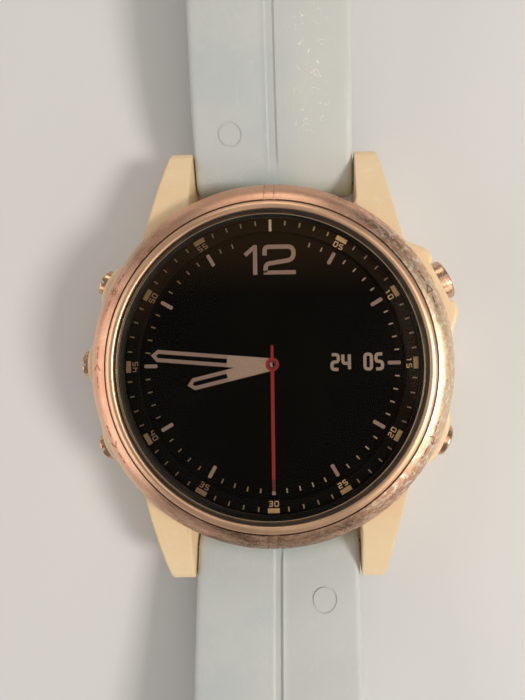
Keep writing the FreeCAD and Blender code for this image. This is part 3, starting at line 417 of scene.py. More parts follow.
def lens_material():
    """Coated cover glass: nearly clear on the flat, a dark olive polished chamfer at its edge, with a thin painted
    highlight line.
    """
    t = Tree("glass_clear")
    nt = t.nt
    x, y, z = t.xyz()
    r = t.vmath("LENGTH", t.vec(x, y, 0.0))
    smear = t.noise(scale=0.16, detail=4.0, rough=0.6)
    fres = nt.nodes.new("ShaderNodeFresnel")
    fres.inputs["IOR"].default_value = 1.17
    gloss = nt.nodes.new("ShaderNodeBsdfGlossy")
    gloss.inputs["Color"].default_value = (1.0, 0.86, 0.72, 1)
    t.link(t.math("ADD", 0.03, t.math("MULTIPLY", t.step(smear, 0.45, 0.7), 0.10)), gloss.inputs["Roughness"])
    clear = nt.nodes.new("ShaderNodeBsdfTransparent")
    clear.inputs["Color"].default_value = (0.93, 0.94, 0.92, 1)
    m1 = nt.nodes.new("ShaderNodeMixShader")
    t.link(t.math("ADD", fres.outputs[0], t.math("MULTIPLY", t.step(smear, 0.5, 0.75), 0.004)), m1.inputs[0])
    t.link(clear.outputs[0], m1.inputs[1])
    t.link(gloss.outputs[0], m1.inputs[2])
    edge = t.math("MULTIPLY", t.step(r, 16.90, 16.95), t.step(z, 14.6, 14.9))
    # painted highlight: a thin pale line at the edge of the glass
    line = t.math("MULTIPLY", t.step(r, 16.90, 16.96), t.step(r, 17.06, 17.0))
    dark = t.mix(t.step(t.noise(scale=0.55, detail=4.0), 0.38, 0.62), srgb(62, 48, 34), srgb(24, 20, 14))
    t.set(Base_Color=t.mix(t.math("MULTIPLY", line, 0.6), dark, srgb(176, 160, 128)), Roughness=0.16, Metallic=0.0, Specular_IOR_Level=0.45)
    m2 = nt.nodes.new("ShaderNodeMixShader")
    t.link(t.math("MULTIPLY", edge, 0.82), m2.inputs[0])
    t.link(m1.outputs[0], m2.inputs[1])
    t.link(t.b.outputs[0], m2.inputs[2])
    t.link(m2.outputs[0], t.out.inputs["Surface"])
    return t.m


def board_material():
    t = Tree("board_green")
    x, y, z = t.xyz()
    g = t.noise(scale=2.5, detail=3.0)
    tr = t.step(t.cells(t.vec(t.math("MULTIPLY", x, 1.0), t.math("MULTIPLY", y, 2.4), 0.0), 0.9), 0.02, 0.06, 1.0, 0.0)
    col = t.mix(t.step(g, 0.3, 0.7), srgb(16, 78, 46), srgb(22, 96, 58))
    col = t.mix(t.math("MULTIPLY", tr, 0.5), col, srgb(60, 130, 80))
    t.set(Base_Color=col, Roughness=0.3)
    t.bump(tr, 0.3, 0.02)
    return t.m


def build_materials():
    MATS["rose_steel"] = rose_steel("rose_steel")
    MATS["rose_button"] = rose_steel("rose_button", False, (220, 176, 148))
    MATS["rose_buckle"] = rose_steel("rose_buckle", False, (228, 180, 152))
    MATS["cream_polymer"] = case_material()
    MATS["glass_clear"] = lens_material()
    MATS["black_rubber"] = polymer("black_rubber", (24, 22, 20), 0.6).m
    MATS["black_print"] = dark_gloss("black_print", (6, 6, 4), 0.4, 0.04, ((46, 32, 18), 1.0))
    MATS["display_black"] = dark_gloss("display_black", (3, 3, 2), 0.4, 0.02, ((42, 29, 16), 0.95))
    MATS["light_guide"] = polymer("light_guide", (225, 228, 230), 0.25).m
    MATS["black_plastic"] = polymer("black_plastic", (34, 34, 35), 0.5).m
    MATS["board_green"] = board_material()
    MATS["tin_shield"] = plain_metal("tin_shield", (196, 196, 190), 0.32)
    MATS["copper_flex"] = plain_metal("copper_flex", (176, 112, 50), 0.35, "y", 0.3)
    MATS["battery_foil"] = plain_metal("battery_foil", (200, 201, 204), 0.38, "n")
    MATS["steel_plain"] = plain_metal("steel_plain", (198, 196, 192), 0.26)
    MATS["steel_rear"] = plain_metal("steel_rear", (176, 174, 170), 0.40, "n")
    MATS["dark_window"] = dark_gloss("dark_window", (10, 10, 12), 0.08)
    MATS["gold_contact"] = plain_metal("gold_contact", (232, 190, 104), 0.2)
    MATS["brass_part"] = plain_metal("brass_part", (206, 170, 98), 0.3)
    MATS["blue_silicone"] = silicone("blue_silicone")


build_materials()
SLOT = {s["node"]: s["material_slot"] for s in frame["record"]["subparts"]}
for name, ob in NODES.items():
    ob.data.materials.clear()
    ob.data.materials.append(MATS[SLOT[name]])

# =============================================================== shared dimensions (mm)
PIN_Y, PIN_Z = 23.6, 5.5
BUTTON_Z = 7.0
HALF_W = 10.0
UPPER = dict(L=76.0, s1=10.0, s2=35.9, R=55.0, slope=17.5, lower=False)
LOWER = dict(L=118.0, s1=10.0, s2=118.0, R=190.0, slope=13.0, lower=True)


def centre(s, d):
    if s <= d["s1"]:
        return s, 0.0, 0.0
    t = (min(s, d["s2"]) - d["s1"]) / d["R"]
    u, w = d["s1"] + d["R"] * math.sin(t), -d["R"] * (1 - math.cos(t))
    if s > d["s2"]:
        u, w = u + (s - d["s2"]) * math.cos(t), w - (s - d["s2"]) * math.sin(t)
    return u, w, t


def smooth(a, b, s):
    t = max(0.0, min(1.0, (s - a) / (b - a)))
    return t * t * (3 - 2 * t)


def to_row(d, x, u, w):
    """From the strap's own plane (x across, u out from the lug pin, w outer side) to the row frame, in metres."""
    a = math.radians(d["slope"])
    y, z = PIN_Y + u * math.cos(a) - w * math.sin(a), PIN_Z + u * math.sin(a) + w * math.cos(a)
    if d["lower"]:
        x, y = -x, -y
    return Vector((x * MM, y * MM, z * MM))


def along(d, s, x, u, w):
    """A point given beside the centreline at s: u along the strap, w normal to it."""
    cu, cw, t = centre(s, d)
    return to_row(d, x, cu + u * math.cos(t) + w * math.sin(t), cw - u * math.sin(t) + w * math.cos(t))


def mesh_object(name, verts, faces, mat, body, smooth_deg=35.0):
    me = bpy.data.meshes.new(name)
    me.from_pydata([tuple(v) for v in verts], [], faces)
    me.validate()
    ob = bpy.data.objects.new(name, me)
    bpy.context.scene.collection.objects.link(ob)
    bm = bmesh.new()
    bm.from_mesh(me)
    bmesh.ops.recalc_face_normals(bm, faces=bm.faces)
    bm.to_mesh(me)
    bm.free()
    shade(me, smooth_deg)
    me.materials.append(MATS[mat] if isinstance(mat, str) else mat)
    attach(ob, body)
    return ob


def shade(me, deg):
    """Smooth shading, with edges sharper than deg kept crisp."""
    bm = bmesh.new()
    bm.from_mesh(me)
    lim = math.radians(deg)
    for f in bm.faces:
        f.smooth = True
    for e in bm.edges:
        e.smooth = not (len(e.link_faces) == 2 and e.calc_face_angle(0.0) > lim)
    bm.to_mesh(me)
    bm.free()


# =============================================================== strap halves
def strap_thick(s, d):
    top = 2.1 + (1.5 - 2.1) * smooth(5, 18, s)
    bot = 2.1 + (1.3 - 2.1) * smooth(11, 21, s)
    if not d["lower"]:
        k = smooth(d["L"] - 6.5, d["L"] - 1.0, s)
        top += 0.4 * k
        bot += 0.6 * k
    return top, bot


def x_stations():
    xs = [0.0, 0.22, 0.34, 0.40, 0.46, 0.50, 0.54, 0.58, 0.64, 0.74, 0.95, 1.4, 2.2, 3.2, 4.3, 5.4, 6.4, 7.3, 8.1, 8.7, 9.1]
    r = 0.72
    for k in range(1, 8):
        a = math.radians(90 * k / 7)
        xs.append(HALF_W - r + r * math.sin(a))
    pos = sorted(set(round(v, 5) for v in xs))
    return [-v for v in reversed(pos[1:])] + pos, r


def edge_inset(x, r):
    q = abs(x) - (HALF_W - r)
    return 0.0 if q <= 0 else r - math.sqrt(max(0.0, r * r - q * q))


def relief(s, x, d):
    """How far the outer face stands above (or sinks below) its nominal height."""
    ax = abs(x)
    start, stop = (1.2 if not d["lower"] else -0.6), (57.5 if not d["lower"] else 44.0)
    run = smooth(start, start + 1.8, s) * (1 - smooth(stop - 2.0, stop, s))
    crown = 0.20 * (1 - (2 * (ax - 0.5) / (HALF_W - 0.5) - 1) ** 2) if ax > 0.5 else 0.0
    crown *= smooth(-1.0, 4.0, s)
    depth = -0.26 * (1 - (smooth(0.44, 0.56, ax) if x < 0 else smooth(0.34, 0.70, ax))) * run
    # a fine raised bead along each side of the channel
    bead = (0.10 if x < 0 else 0.03) * smooth(0.54, 0.60, ax) * (1 - smooth(0.66, 0.86, ax)) * run
    return crown * (0.4 + 0.6 * run) + depth + bead


def strap_profile(d):
    """Closed side profile as (kind, s or angle) stations: outer face, far end, inner face, nose."""
    L = d["L"]
    ss = [0.0, 0.6, 1.2, 1.8, 2.4, 2.8, 3.2, 3.6, 4.0, 4.6, 5.4, 6.4]
    s = 7.4
    while s < L - 3.0:
        ss.append(s)
        s += 1.1
    ss += [L - 2.2, L - 1.2, L - 0.5, L]
    prof = [("top", v) for v in ss]
    prof += [("end", a) for a in (15, 30, 45, 60, 75, 90, 105, 120, 135, 150, 165)]
    prof += [("bot", v) for v in reversed(ss)]
    prof += [("nose", a) for a in (12, 24, 36, 48, 60, 72, 84, 96, 108, 120, 132, 144, 156, 168)]
    return prof


def strap_point(kind, v, x, r, d):
    ins = edge_inset(x, r)
    L = d["L"]
    if d["lower"]:
        q = min(abs(x), HALF_W) / HALF_W
        Lx = L - HALF_W * (1 - math.sqrt(max(0.0, 1 - q * q)))
        a0 = L - 14.0
    else:
        Lx, a0 = L, L - 14.0

    def s_of(s):
        return s if s <= a0 else a0 + (s - a0) * (Lx - a0) / (L - a0)

    hollow = 0.42 * (abs(x) / HALF_W) ** 2
    if kind == "top":
        s = s_of(v)
        top, _ = strap_thick(s, d)
        shift = -hollow * 0.9 * (1 - smooth(0, 3.0, v))      # the end follows the case's curve
        rel = relief(v, x, d)
        return along(d, s + shift, x, 0, top - ins + rel)
    if kind == "bot":
        s = s_of(v)
        _, bot = strap_thick(s, d)
        shift = -hollow * 0.9 * (1 - smooth(0, 3.0, v))
        return along(d, s + shift, x, 0, -(bot - ins))
    if kind == "end":
        s = s_of(L)
        top, bot = strap_thick(s, d)
        a = math.radians(v)
        mid, half = (top - bot) / 2, (top + bot) / 2 - ins
        bulge = half if not d["lower"] else min(half, 0.9)
        return along(d, s, x, bulge * math.sin(a), mid + half * math.cos(a))
    a = math.radians(v)
    rad = 2.1 - ins
    return to_row(d, x, -(rad + hollow * 0.9) * math.sin(a) - hollow * 0.0, -rad * math.cos(a))


def boolean(ob, cutter):
    """Cut one mesh out of another, worked in millimetres so that the solver's tolerances suit the size."""
    up, down = Matrix.Scale(1000.0, 4), Matrix.Scale(0.001, 4)
    ob.data.transform(up)
    cutter.data.transform(up)
    mod = ob.modifiers.new("cut", "BOOLEAN")
    mod.operation = "DIFFERENCE"
    mod.solver = "MANIFOLD"
    mod.object = cutter
    dg = bpy.context.evaluated_depsgraph_get()
    me = bpy.data.meshes.new_from_object(ob.evaluated_get(dg))
    ob.modifiers.clear()
    old = ob.data
    me.transform(down)
    ob.data = me
    bpy.data.meshes.remove(old)
    bpy.data.objects.remove(cutter)
    if not len(me.polygons):
        raise RuntimeError("a cut left nothing of " + ob.name)


def cutter_from(bm):
    me = bpy.data.meshes.new("cutter")
    bm.to_mesh(me)
    bm.free()
    ob = bpy.data.objects.new("cutter", me)
    bpy.context.scene.collection.objects.link(ob)
    return ob


def extrude_loop(bm, lower, upper, cap=True):
    """A closed prism between two matching loops of points."""
    a = [bm.verts.new(p) for p in lower]
    b = [bm.verts.new(p) for p in upper]
    n = len(a)
    for i in range(n):
        bm.faces.new((a[i], a[(i + 1) % n], b[(i + 1) % n], b[i]))
    if cap:
        bm.faces.new(list(reversed(a)))
        bm.faces.new(b)
    return a, b


def rounded_rect(hx, hy, r, n=5, cx=0.0, cy=0.0):
    pts = []
    for qx, qy, a0 in ((1, 1, 0), (-1, 1, 90), (-1, -1, 180), (1, -1, 270)):
        for k in range(n + 1):
            a = math.radians(a0 + 90 * k / n)
            pts.append((cx + qx * (hx - r) + r * math.cos(a), cy + qy * (hy - r) + r * math.sin(a)))
    return pts


def circle_pts(r, n, cx=0.0, cy=0.0):
    return [(cx + r * math.cos(2 * math.pi * k / n), cy + r * math.sin(2 * math.pi * k / n)) for k in range(n)]


def make_strap(name, d):
    xs, r = x_stations()
    prof = strap_profile(d)
    M, K = len(prof), len(xs)
    verts, faces = [], []
    for x in xs:
        for kind, v in prof:
            verts.append(strap_point(kind, v, x, r, d))
    for k in range(K - 1):
        for i in range(M):
            j = (i + 1) % M
            faces.append((k * M + i, k * M + j, (k + 1) * M + j, (k + 1) * M + i))
    # side walls: pair the outer and inner stations of the profile
    ns = sum(1 for p in prof if p[0] == "top")
    ne = sum(1 for p in prof if p[0] == "end")
    nn = sum(1 for p in prof if p[0] == "nose")
    for k, rev in ((0, True), (K - 1, False)):
        o = k * M
        for i in range(ns - 1):
            a, b = i, i + 1
            c, e = ns + ne + (ns - 1 - b), ns + ne + (ns - 1 - a)
            faces.append(tuple(o + q for q in ((a, b, c, e) if not rev else (e, c, b, a))))
        end = [ns - 1] + list(range(ns, ns + ne)) + [ns + ne]
        nose = [M - nn - 1] + list(range(M - nn, M)) + [0]
        for loop in (end, nose):
            lo, hi = 0, len(loop) - 1
            while hi - lo > 1:
                if hi - lo == 2:
                    f = (loop[lo], loop[lo + 1], loop[hi])
                else:
                    f = (loop[lo], loop[lo + 1], loop[hi - 1], loop[hi])
                faces.append(tuple(o + q for q in (f if not rev else tuple(reversed(f)))))
                lo, hi = lo + 1, hi - 1
    ob = mesh_object(name, verts, faces, "blue_silicone", d["body"])

    # pocket for the rigid end insert, its mouth, and the passage of the lug pin
    con = 8.64
    arc = [(1.54 * math.cos(math.radians(a)), 1.54 * math.sin(math.radians(a))) for a in range(55, 181, 5)]
    prof2 = [(9.06, -5.0), (9.06, 1.26)] + arc + [(-1.54, -5.0)]
    bm = bmesh.new()
    extrude_loop(bm, [to_row(d, -con, u, w) for u, w in prof2], [to_row(d, con, u, w) for u, w in prof2])
    bmesh.ops.recalc_face_normals(bm, faces=bm.faces)
    boolean(ob, cutter_from(bm))
    hole = [(0.93 * math.cos(math.radians(a)), 0.93 * math.sin(math.radians(a))) for a in range(0, 181, 15)]
    hole = hole + [(-0.93, -5.0), (0.93, -5.0)]
    bm = bmesh.new()
    extrude_loop(bm, [to_row(d, -12, u, w) for u, w in hole], [to_row(d, 12, u, w) for u, w in hole])
    bmesh.ops.recalc_face_normals(bm, faces=bm.faces)
    boolean(ob, cutter_from(bm))
    # finger recess behind the latch
    bm = bmesh.new()
    pts = rounded_rect(3.6, 1.1, 0.5, 4)
    extrude_loop(bm, [along(d, 9.6, px, py, -4.0) for px, py in pts], [along(d, 9.6, px, py, -1.0) for px, py in pts])
    bmesh.ops.recalc_face_normals(bm, faces=bm.faces)
    boolean(ob, cutter_from(bm))

    # ring mark sunk in one half of the outer face, near the case
    mark_s, mark_x = 5.6, (-5.35 if not d["lower"] else -5.5)
    bm = bmesh.new()
    n = 48
    o = circle_pts(1.55, n, mark_x, 0.0)
    i_ = circle_pts(1.27, n, mark_x, 0.0)
    top, _ = strap_thick(mark_s, d)
    lo_w, hi_w = top + relief(mark_s, mark_x, d) - 0.13, top + 1.5
    ring_v = []
    for pts, w in ((o, lo_w), (o, hi_w), (i_, hi_w), (i_, lo_w)):
        ring_v.append([bm.verts.new(along(d, mark_s, px, py, w)) for px, py in pts])
    for a in range(4):
        b = (a + 1) % 4
        for k in range(n):
            q = (k + 1) % n
            bm.faces.new((ring_v[a][k], ring_v[a][q], ring_v[b][q], ring_v[b][k]))
    bmesh.ops.recalc_face_normals(bm, faces=bm.faces)
    boolean(ob, cutter_from(bm))

    if d["lower"]:
        bm = bmesh.new()
        for k in range(10):
            s = 48.0 + 6.4 * k
            pts = rounded_rect(1.5, 1.0, 0.9, 6)
            extrude_loop(bm, [along(d, s, px, py, -4.0) for px, py in pts], [along(d, s, px, py, 4.0) for px, py in pts])
        bmesh.ops.recalc_face_normals(bm, faces=bm.faces)
        boolean(ob, cutter_from(bm))
    else:
        bm = bmesh.new()
        pts = circle_pts(0.77, 24)
        extrude_loop(bm, [along(d, d["L"], -12.0, px, py) for px, py in pts], [along(d, d["L"], 12.0, px, py) for px, py in pts])
        bmesh.ops.recalc_face_normals(bm, faces=bm.faces)
        boolean(ob, cutter_from(bm))
        bm = bmesh.new()
        pts = [(-1.75, -2.4), (1.75, -2.4), (1.75, 4.0), (-1.75, 4.0)]
        extrude_loop(bm, [along(d, d["L"], px, py, -4.0) for px, py in pts], [along(d, d["L"], px, py, 4.0) for px, py in pts])
        bmesh.ops.recalc_face_normals(bm, faces=bm.faces)
        boolean(ob, cutter_from(bm))
    bm = bmesh.new()
    bm.from_mesh(ob.data)
    bmesh.ops.remove_doubles(bm, verts=bm.verts, dist=2e-6)
    bm.to_mesh(ob.data)
    bm.free()
    shade(ob.data, 32.0)
    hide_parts(d["node"])
    return ob


UPPER.update(body="upper_strap", node="upper_strap")
LOWER.update(body="lower_strap", node="lower_strap")
upper = make_strap("upper_strap_silicone", UPPER)
lower = make_strap("lower_strap_silicone", LOWER)


# =============================================================== keepers
def make_keeper(name, node, body, s, clr):
    """Moulded silicone loop: rounded corners, crowned outside, softly rounded rims."""
    hx, bot, top, wall = 10.0 + clr, -1.3 - clr, 4.8, 1.2
    cw, ch = (bot + top) / 2, (top - bot) / 2
    inner = rounded_rect(hx, ch, 0.55, 6, 0.0, cw)
    outer = rounded_rect(hx + 1.3, ch + wall, 1.7, 6, 0.0, cw)
    n = len(inner)
    # section across the band: from the inner face round the rim to the outer face
    sec = []
    for q, f in ((-2.5, 0.18), (-2.42, 0.55), (-2.2, 0.84), (-1.7, 0.95), (-0.8, 1.0), (0.0, 1.01), (0.8, 1.0), (1.7, 0.95), (2.2, 0.84),
                 (2.42, 0.55), (2.5, 0.18), (2.44, 0.0), (1.2, 0.0), (-1.2, 0.0), (-2.44, 0.0)):
        sec.append((q, f))
    verts, faces = [], []
    for q, f in sec:
        for a, b in zip(inner, outer):
            x, w = a[0] + (b[0] - a[0]) * f, a[1] + (b[1] - a[1]) * f
            verts.append(along(UPPER, s, x, q, w))
    m = len(sec)
    for i in range(m):
        j = (i + 1) % m
        for k in range(n):
            l = (k + 1) % n
            faces.append((i * n + k, i * n + l, j * n + l, j * n + k))
    ob = mesh_object(name, verts, faces, "blue_silicone", body, 40.0)
    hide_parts(node)
    return ob


make_keeper("fixed_keeper_loop", "fixed_keeper", "upper_strap", 64.0, 0.02)
make_keeper("sliding_keeper_loop", "sliding_keeper", "sliding_keeper", 52.5, 0.16)


# =============================================================== coil springs
def make_spring(node, body, origin, axis, radius, wire, length, turns):
    """Round-wire compression spring from origin along axis (mm)."""
    axis = Vector(axis).normalized()
    side = axis.cross(Vector((0, 0, 1)))
    if side.length < 0.2:
        side = axis.cross(Vector((0, 1, 0)))
    side.normalize()
    up = axis.cross(side)
    around, step = 8, 28
    n = int(turns * step)
    verts, faces = [], []
    for i in range(n + 1):
        a = 2 * math.pi * i / step
        out = side * math.cos(a) + up * math.sin(a)
        mid = Vector(origin) + axis * (wire + (length - 2 * wire) * i / n) + out * radius
        for k in range(around):
            b = 2 * math.pi * k / around
            verts.append((mid + out * wire * math.cos(b) + axis * wire * math.sin(b)) * MM)
    for i in range(n):
        for k in range(around):
            q = (k + 1) % around
            faces.append((i * around + k, i * around + q, (i + 1) * around + q, (i + 1) * around + k))
    faces.append(tuple(reversed(range(around))))
    faces.append(tuple(n * around + k for k in range(around)))
    ob = mesh_object("coil_" + node, verts, faces, SLOT[node], body, 60.0)
    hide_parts(node)
    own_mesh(ob)
    return ob


# each button's spring lies along its own radius: its two ends are read from the CAD piece
for key, deg in (("light", 154.5), ("up", 180.0), ("down", 206.0), ("start", 25.0), ("back", -26.0)):
    n = Vector((math.cos(math.radians(deg)), math.sin(math.radians(deg)), 0.0))
    reach = [n.dot(v.co) / MM for v in NODES[key + "_spring"].data.vertices]
    r0, r1 = min(reach), max(reach)
    make_spring(key + "_spring", "watch_case", n * r0 + Vector((0, 0, BUTTON_Z)), n, 1.2, 0.075, r1 - r0, 2)
for key, d in (("upper", UPPER), ("lower", LOWER)):
    a, b = to_row(d, 0, 3.2, -0.36) / MM, to_row(d, 0, 7.8, -0.36) / MM
    make_spring(key + "_latch_spring", key + "_strap", a, b - a, 0.42, 0.095, (b - a).length, 7)


# =============================================================== dial marks under the glass
class Flat:
    """Thin closed prisms drawn in the plane, mapped to 3-D by f(x, y, level) with level 0 below and 1 above."""

    def __init__(self, f):
        self.v, self.fc, self.f = [], [], f

    def strip(self, left, right, closed=False):
        n = len(left)
        o = len(self.v)
        for lev in (0, 1):
            for side in (left, right):
                self.v += [self.f(p[0], p[1], lev) for p in side]

        def idx(lev, side, i):
            return o + (lev * 2 + side) * n + i % n
        for i in range(n if closed else n - 1):
            j = i + 1
            self.fc.append((idx(1, 0, i), idx(1, 1, i), idx(1, 1, j), idx(1, 0, j)))
            self.fc.append((idx(0, 0, j), idx(0, 1, j), idx(0, 1, i), idx(0, 0, i)))
            self.fc.append((idx(0, 0, i), idx(1, 0, i), idx(1, 0, j), idx(0, 0, j)))
            self.fc.append((idx(0, 1, j), idx(1, 1, j), idx(1, 1, i), idx(0, 1, i)))
        if not closed:
            for i in (0, n - 1):
                q = (idx(0, 0, i), idx(0, 1, i), idx(1, 1, i), idx(1, 0, i))
                self.fc.append(q if i == 0 else tuple(reversed(q)))

    def stroke(self, pts, width, closed=False, place=lambda p: p):
        n = len(pts)
        left, right = [], []
        for i in range(n):
            p = Vector(pts[i])
            a = Vector(pts[i - 1]) if (i > 0 or closed) else None
            b = Vector(pts[(i + 1) % n]) if (i < n - 1 or closed) else None
            d1 = (p - a).normalized() if a is not None else None
            d2 = (b - p).normalized() if b is not None else None
            d1 = d1 or d2
            d2 = d2 or d1
            t = (d1 + d2).normalized()
            nrm = Vector((-t.y, t.x))
            k = 1.0 / max(0.5, nrm.dot(Vector((-d1.y, d1.x))))
            left.append(place(tuple(p + nrm * width / 2 * k)))
            right.append(place(tuple(p - nrm * width / 2 * k)))
        self.strip(left, right, closed)

    def build(self, name, mat, body="watch_case"):
        return mesh_object(name, self.v, self.fc, mat, body, 30.0)


def fillet(pts, r, n=4, closed=False):
    """Round the corners of a polyline."""
    out = []
    m = len(pts)
    for i, p in enumerate(pts):
        if not closed and i in (0, m - 1):
            out.append(p)
            continue
        a, b, p = Vector(pts[i - 1]), Vector(pts[(i + 1) % m]), Vector(p)
        da, db = (a - p), (b - p)
        k = min(r, da.length * 0.49, db.length * 0.49)
        pa, pb = p + da.normalized() * k, p + db.normalized() * k
        for q in range(n + 1):
            t = q / n
            out.append(tuple(pa * (1 - t) ** 2 + p * 2 * t * (1 - t) + pb * t * t))
    return out


def digit_paths(c):
    """Squared-off digits in a box 1 wide and 1.55 high, as open or closed centre lines."""
    W, H, M = 1.0, 1.55, 0.775
    table = {
        "0": [([(0, 0), (W, 0), (W, H), (0, H)], True)],
        "1": [([(0.12, H - 0.28), (0.5, H), (0.5, 0)], False)],
        "2": [([(0, H), (W, H), (W, M), (0, M), (0, 0), (W, 0)], False)],
        "3": [([(0, H), (W, H), (W, 0), (0, 0)], False), ([(0.2, M), (W, M)], False)],
        "4": [([(0, H), (0, 0.62), (W, 0.62)], False), ([(W, H), (W, 0)], False)],
        "5": [([(W, H), (0, H), (0, M), (W, M), (W, 0), (0, 0)], False)],
    }
    return table[c]


def write_digits(flat, text, height, width, stroke, gap, place, rr=0.16):
    """Digits centred on the origin of `place`, reading along +x."""
    n = len(text)
    adv = width + gap
    x0 = -(n * adv - gap) / 2
    for i, c in enumerate(text):
        if c == " ":
            continue
        for pts, closed in digit_paths(c):
            q = [(x0 + i * adv + stroke / 2 + px * (width - stroke), -height / 2 + stroke / 2 + py / 1.55 * (height - stroke)) for px, py in pts]
            q = fillet(q, rr * height, 4, closed)
            flat.stroke(q, stroke, closed, place)


def polar(ang_deg, r0=0.0, flip=False):
    """Map local (x right, y outward) onto the dial at clock angle ang_deg and radius r0."""
    a = math.radians(ang_deg)
    ox, oy = math.sin(a), math.cos(a)      # outward
    tx, ty = math.cos(a), -math.sin(a)     # clockwise
    k = -1.0 if flip else 1.0

    def f(p):
        return (ox * (r0 + k * p[1]) + tx * k * p[0], oy * (r0 + k * p[1]) + ty * k * p[0])
    return f


def flat_at(z0, z1):
    return lambda x, y, lev: Vector((x * MM, y * MM, (z1 if lev else z0) * MM))


TAN = printed("print_tan", (240, 194, 144), glow=0.03, left=(140, 108, 84))
PRINT_PALE = printed("print_pale", (214, 190, 160), glow=0.05)
DIM = printed("print_dim", (196, 164, 132), glow=0.02, left=(128, 104, 84))
HAND = printed("hand_grey", (172, 136, 124), glow=0.02, left=(158, 130, 120))
HANDHUB = printed("hand_light", (184, 156, 140), glow=0.02)
RED = printed("hand_red", (168, 36, 34), glow=0.03)
REDDIM = printed("hand_red_dim", (112, 30, 30))

ring_map = flat_at(13.775, 13.80)
disp_map = flat_at(13.235, 13.262)
hand1 = flat_at(13.235, 13.285)
hand2 = flat_at(13.235, 13.31)
hand3 = flat_at(13.235, 13.335)


def rect(flat, place, x0, x1, y0, y1):
    flat.strip([place((x0, y0)), place((x0, y1))], [place((x1, y0)), place((x1, y1))])


# printed minute ring
f = Flat(ring_map)
for m in range(60):
    if m % 5:
        rect(f, polar(m * 6.0), -0.075, 0.075, 16.0, 16.52)
f.build("minute_ticks", DIM)
f = Flat(ring_map)
rect(f, polar(0), -0.155, 0.155, 15.25, 16.6)
f.build("twelve_tick", PRINT_PALE)
f = Flat(ring_map)
for h in range(1, 12):
    flip = 4 <= h <= 8
    rect(f, polar(h * 30.0), -0.66, 0.66, 16.06, 16.6)
f.build("five_minute_blocks", TAN)
f = Flat(ring_map)
for h in range(1, 12):
    flip = 4 <= h <= 8
    write_digits(f, "%02d" % (h * 5), 0.64, 0.50, 0.108, 0.16, polar(h * 30.0, 15.56, flip), 0.12)
f.build("five_minute_digits", TAN)

# display: hour bars, small ticks, large 12, date digits
f = Flat(disp_map)
for m in range(60):
    if m % 5 and not (56 < m or m < 4):
        rect(f, polar(m * 6.0), -0.075, 0.075, 14.1, 14.62)
    elif m in (3, 4, 57, 56):
        rect(f, polar(m * 6.0), -0.075, 0.075, 14.1, 14.62)
f.build("display_ticks", DIM)
f = Flat(disp_map)
for h in range(1, 12):
    if h == 6:
        rect(f, polar(180.0), -0.20, 0.20, 14.35, 14.75)
        continue
    pts = fillet([(-0.21, 13.2), (-0.21, 14.7), (0.21, 14.7), (0.21, 13.2)], 0.1, 3, True)
    left = [polar(h * 30.0)(p) for p in [(-0.21, 13.3), (-0.21, 14.6)]]
    right = [polar(h * 30.0)(p) for p in [(0.21, 13.3), (0.21, 14.6)]]
    a = [(-0.12, 13.2), (-0.21, 13.3), (-0.21, 14.6), (-0.12, 14.7)]
    b = [(0.12, 13.2), (0.21, 13.3), (0.21, 14.6), (0.12, 14.7)]
    f.strip([polar(h * 30.0)(p) for p in a], [polar(h * 30.0)(p) for p in b])
f.build("hour_bars", HAND)
f = Flat(disp_map)
one = [(-2.98, 12.72), (-1.98, 13.58), (-1.72, 13.58), (-1.72, 10.36)]
f.stroke([(-3.0, 12.62), (-1.93, 13.55), (-1.60, 13.55)], 0.46)
f.stroke([(-1.83, 13.35), (-1.83, 10.33)], 0.48)
two = fillet([(-0.72, 12.55), (-0.72, 13.55), (2.62, 13.55), (2.62, 12.05), (-0.62, 11.55), (-0.62, 10.57)], 0.75, 7)
f.stroke(two, 0.50)
f.stroke([(-0.87, 10.57), (2.85, 10.57)], 0.46)
f.build("twelve_numeral", HAND)
f = Flat(disp_map)
write_digits(f, "24 05", 2.05, 1.10, 0.36, 0.16, lambda p: (p[0] + 9.72, p[1] + 0.16), 0.16)
f.build("date_digits", HANDHUB)


# hands: solid near the hub, outlined open slot further out
def hand(name, ang, length, slot0, level):
    w, wall, nose = 0.69, 0.23, 0.72
    pl = polar(ang)
    fl = Flat(level)
    # outer and inner outline of the open part
    outer = [(-w, slot0), (-w, length - nose), (0, length), (w, length - nose), (w, slot0)]
    inner = [(-w + 0.44, slot0), (-w + 0.44, length - nose - 0.12), (0, length - 0.56), (w - 0.44, length - nose - 0.12), (w - 0.44, slot0)]
    fl.strip([pl(p) for p in outer], [pl(p) for p in inner])
    fl.build(name + "_outline", HAND)
    fl = Flat(level)
    a = [(-w, 0.0), (-w, slot0 + 0.02)]
    b = [(w, 0.0), (w, slot0 + 0.02)]
    fl.strip([pl(p) for p in a], [pl(p) for p in b])
    fl.build(name + "_root", HANDHUB)


hand("minute_hand", 275.1, 14.0, 5.2, hand1)
hand("hour_hand", 256.8, 10.0, 5.3, hand2)
f = Flat(hand3)
pl = polar(180.0)
f.strip([pl((-0.20, 0.7)), pl((-0.19, 13.0))], [pl((0.20, 0.7)), pl((0.19, 13.0))])
pl0 = polar(0.0)
f.strip([pl0((-0.17, 0.7)), pl0((-0.15, 2.05)), pl0((-0.04, 2.25))], [pl0((0.17, 0.7)), pl0((0.15, 2.05)), pl0((0.04, 2.25))])
f.strip(circle_pts(0.78, 40), circle_pts(0.50, 40), True)
f.build("second_hand", RED)
f = Flat(hand3)
f.strip(circle_pts(0.50, 40), circle_pts(0.27, 40), True)
f.strip([pl((-0.19, 13.0)), pl((-0.17, 14.3))], [pl((0.19, 13.0)), pl((0.17, 14.3))])
f.build("second_hand_shade", REDDIM)


# =============================================================== engraved marks on the bezel
BAND = [(18.78, 14.68), (19.45, 14.42), (20.05, 14.02), (20.55, 13.5), (20.9, 12.95), (21.0, 12.55)]


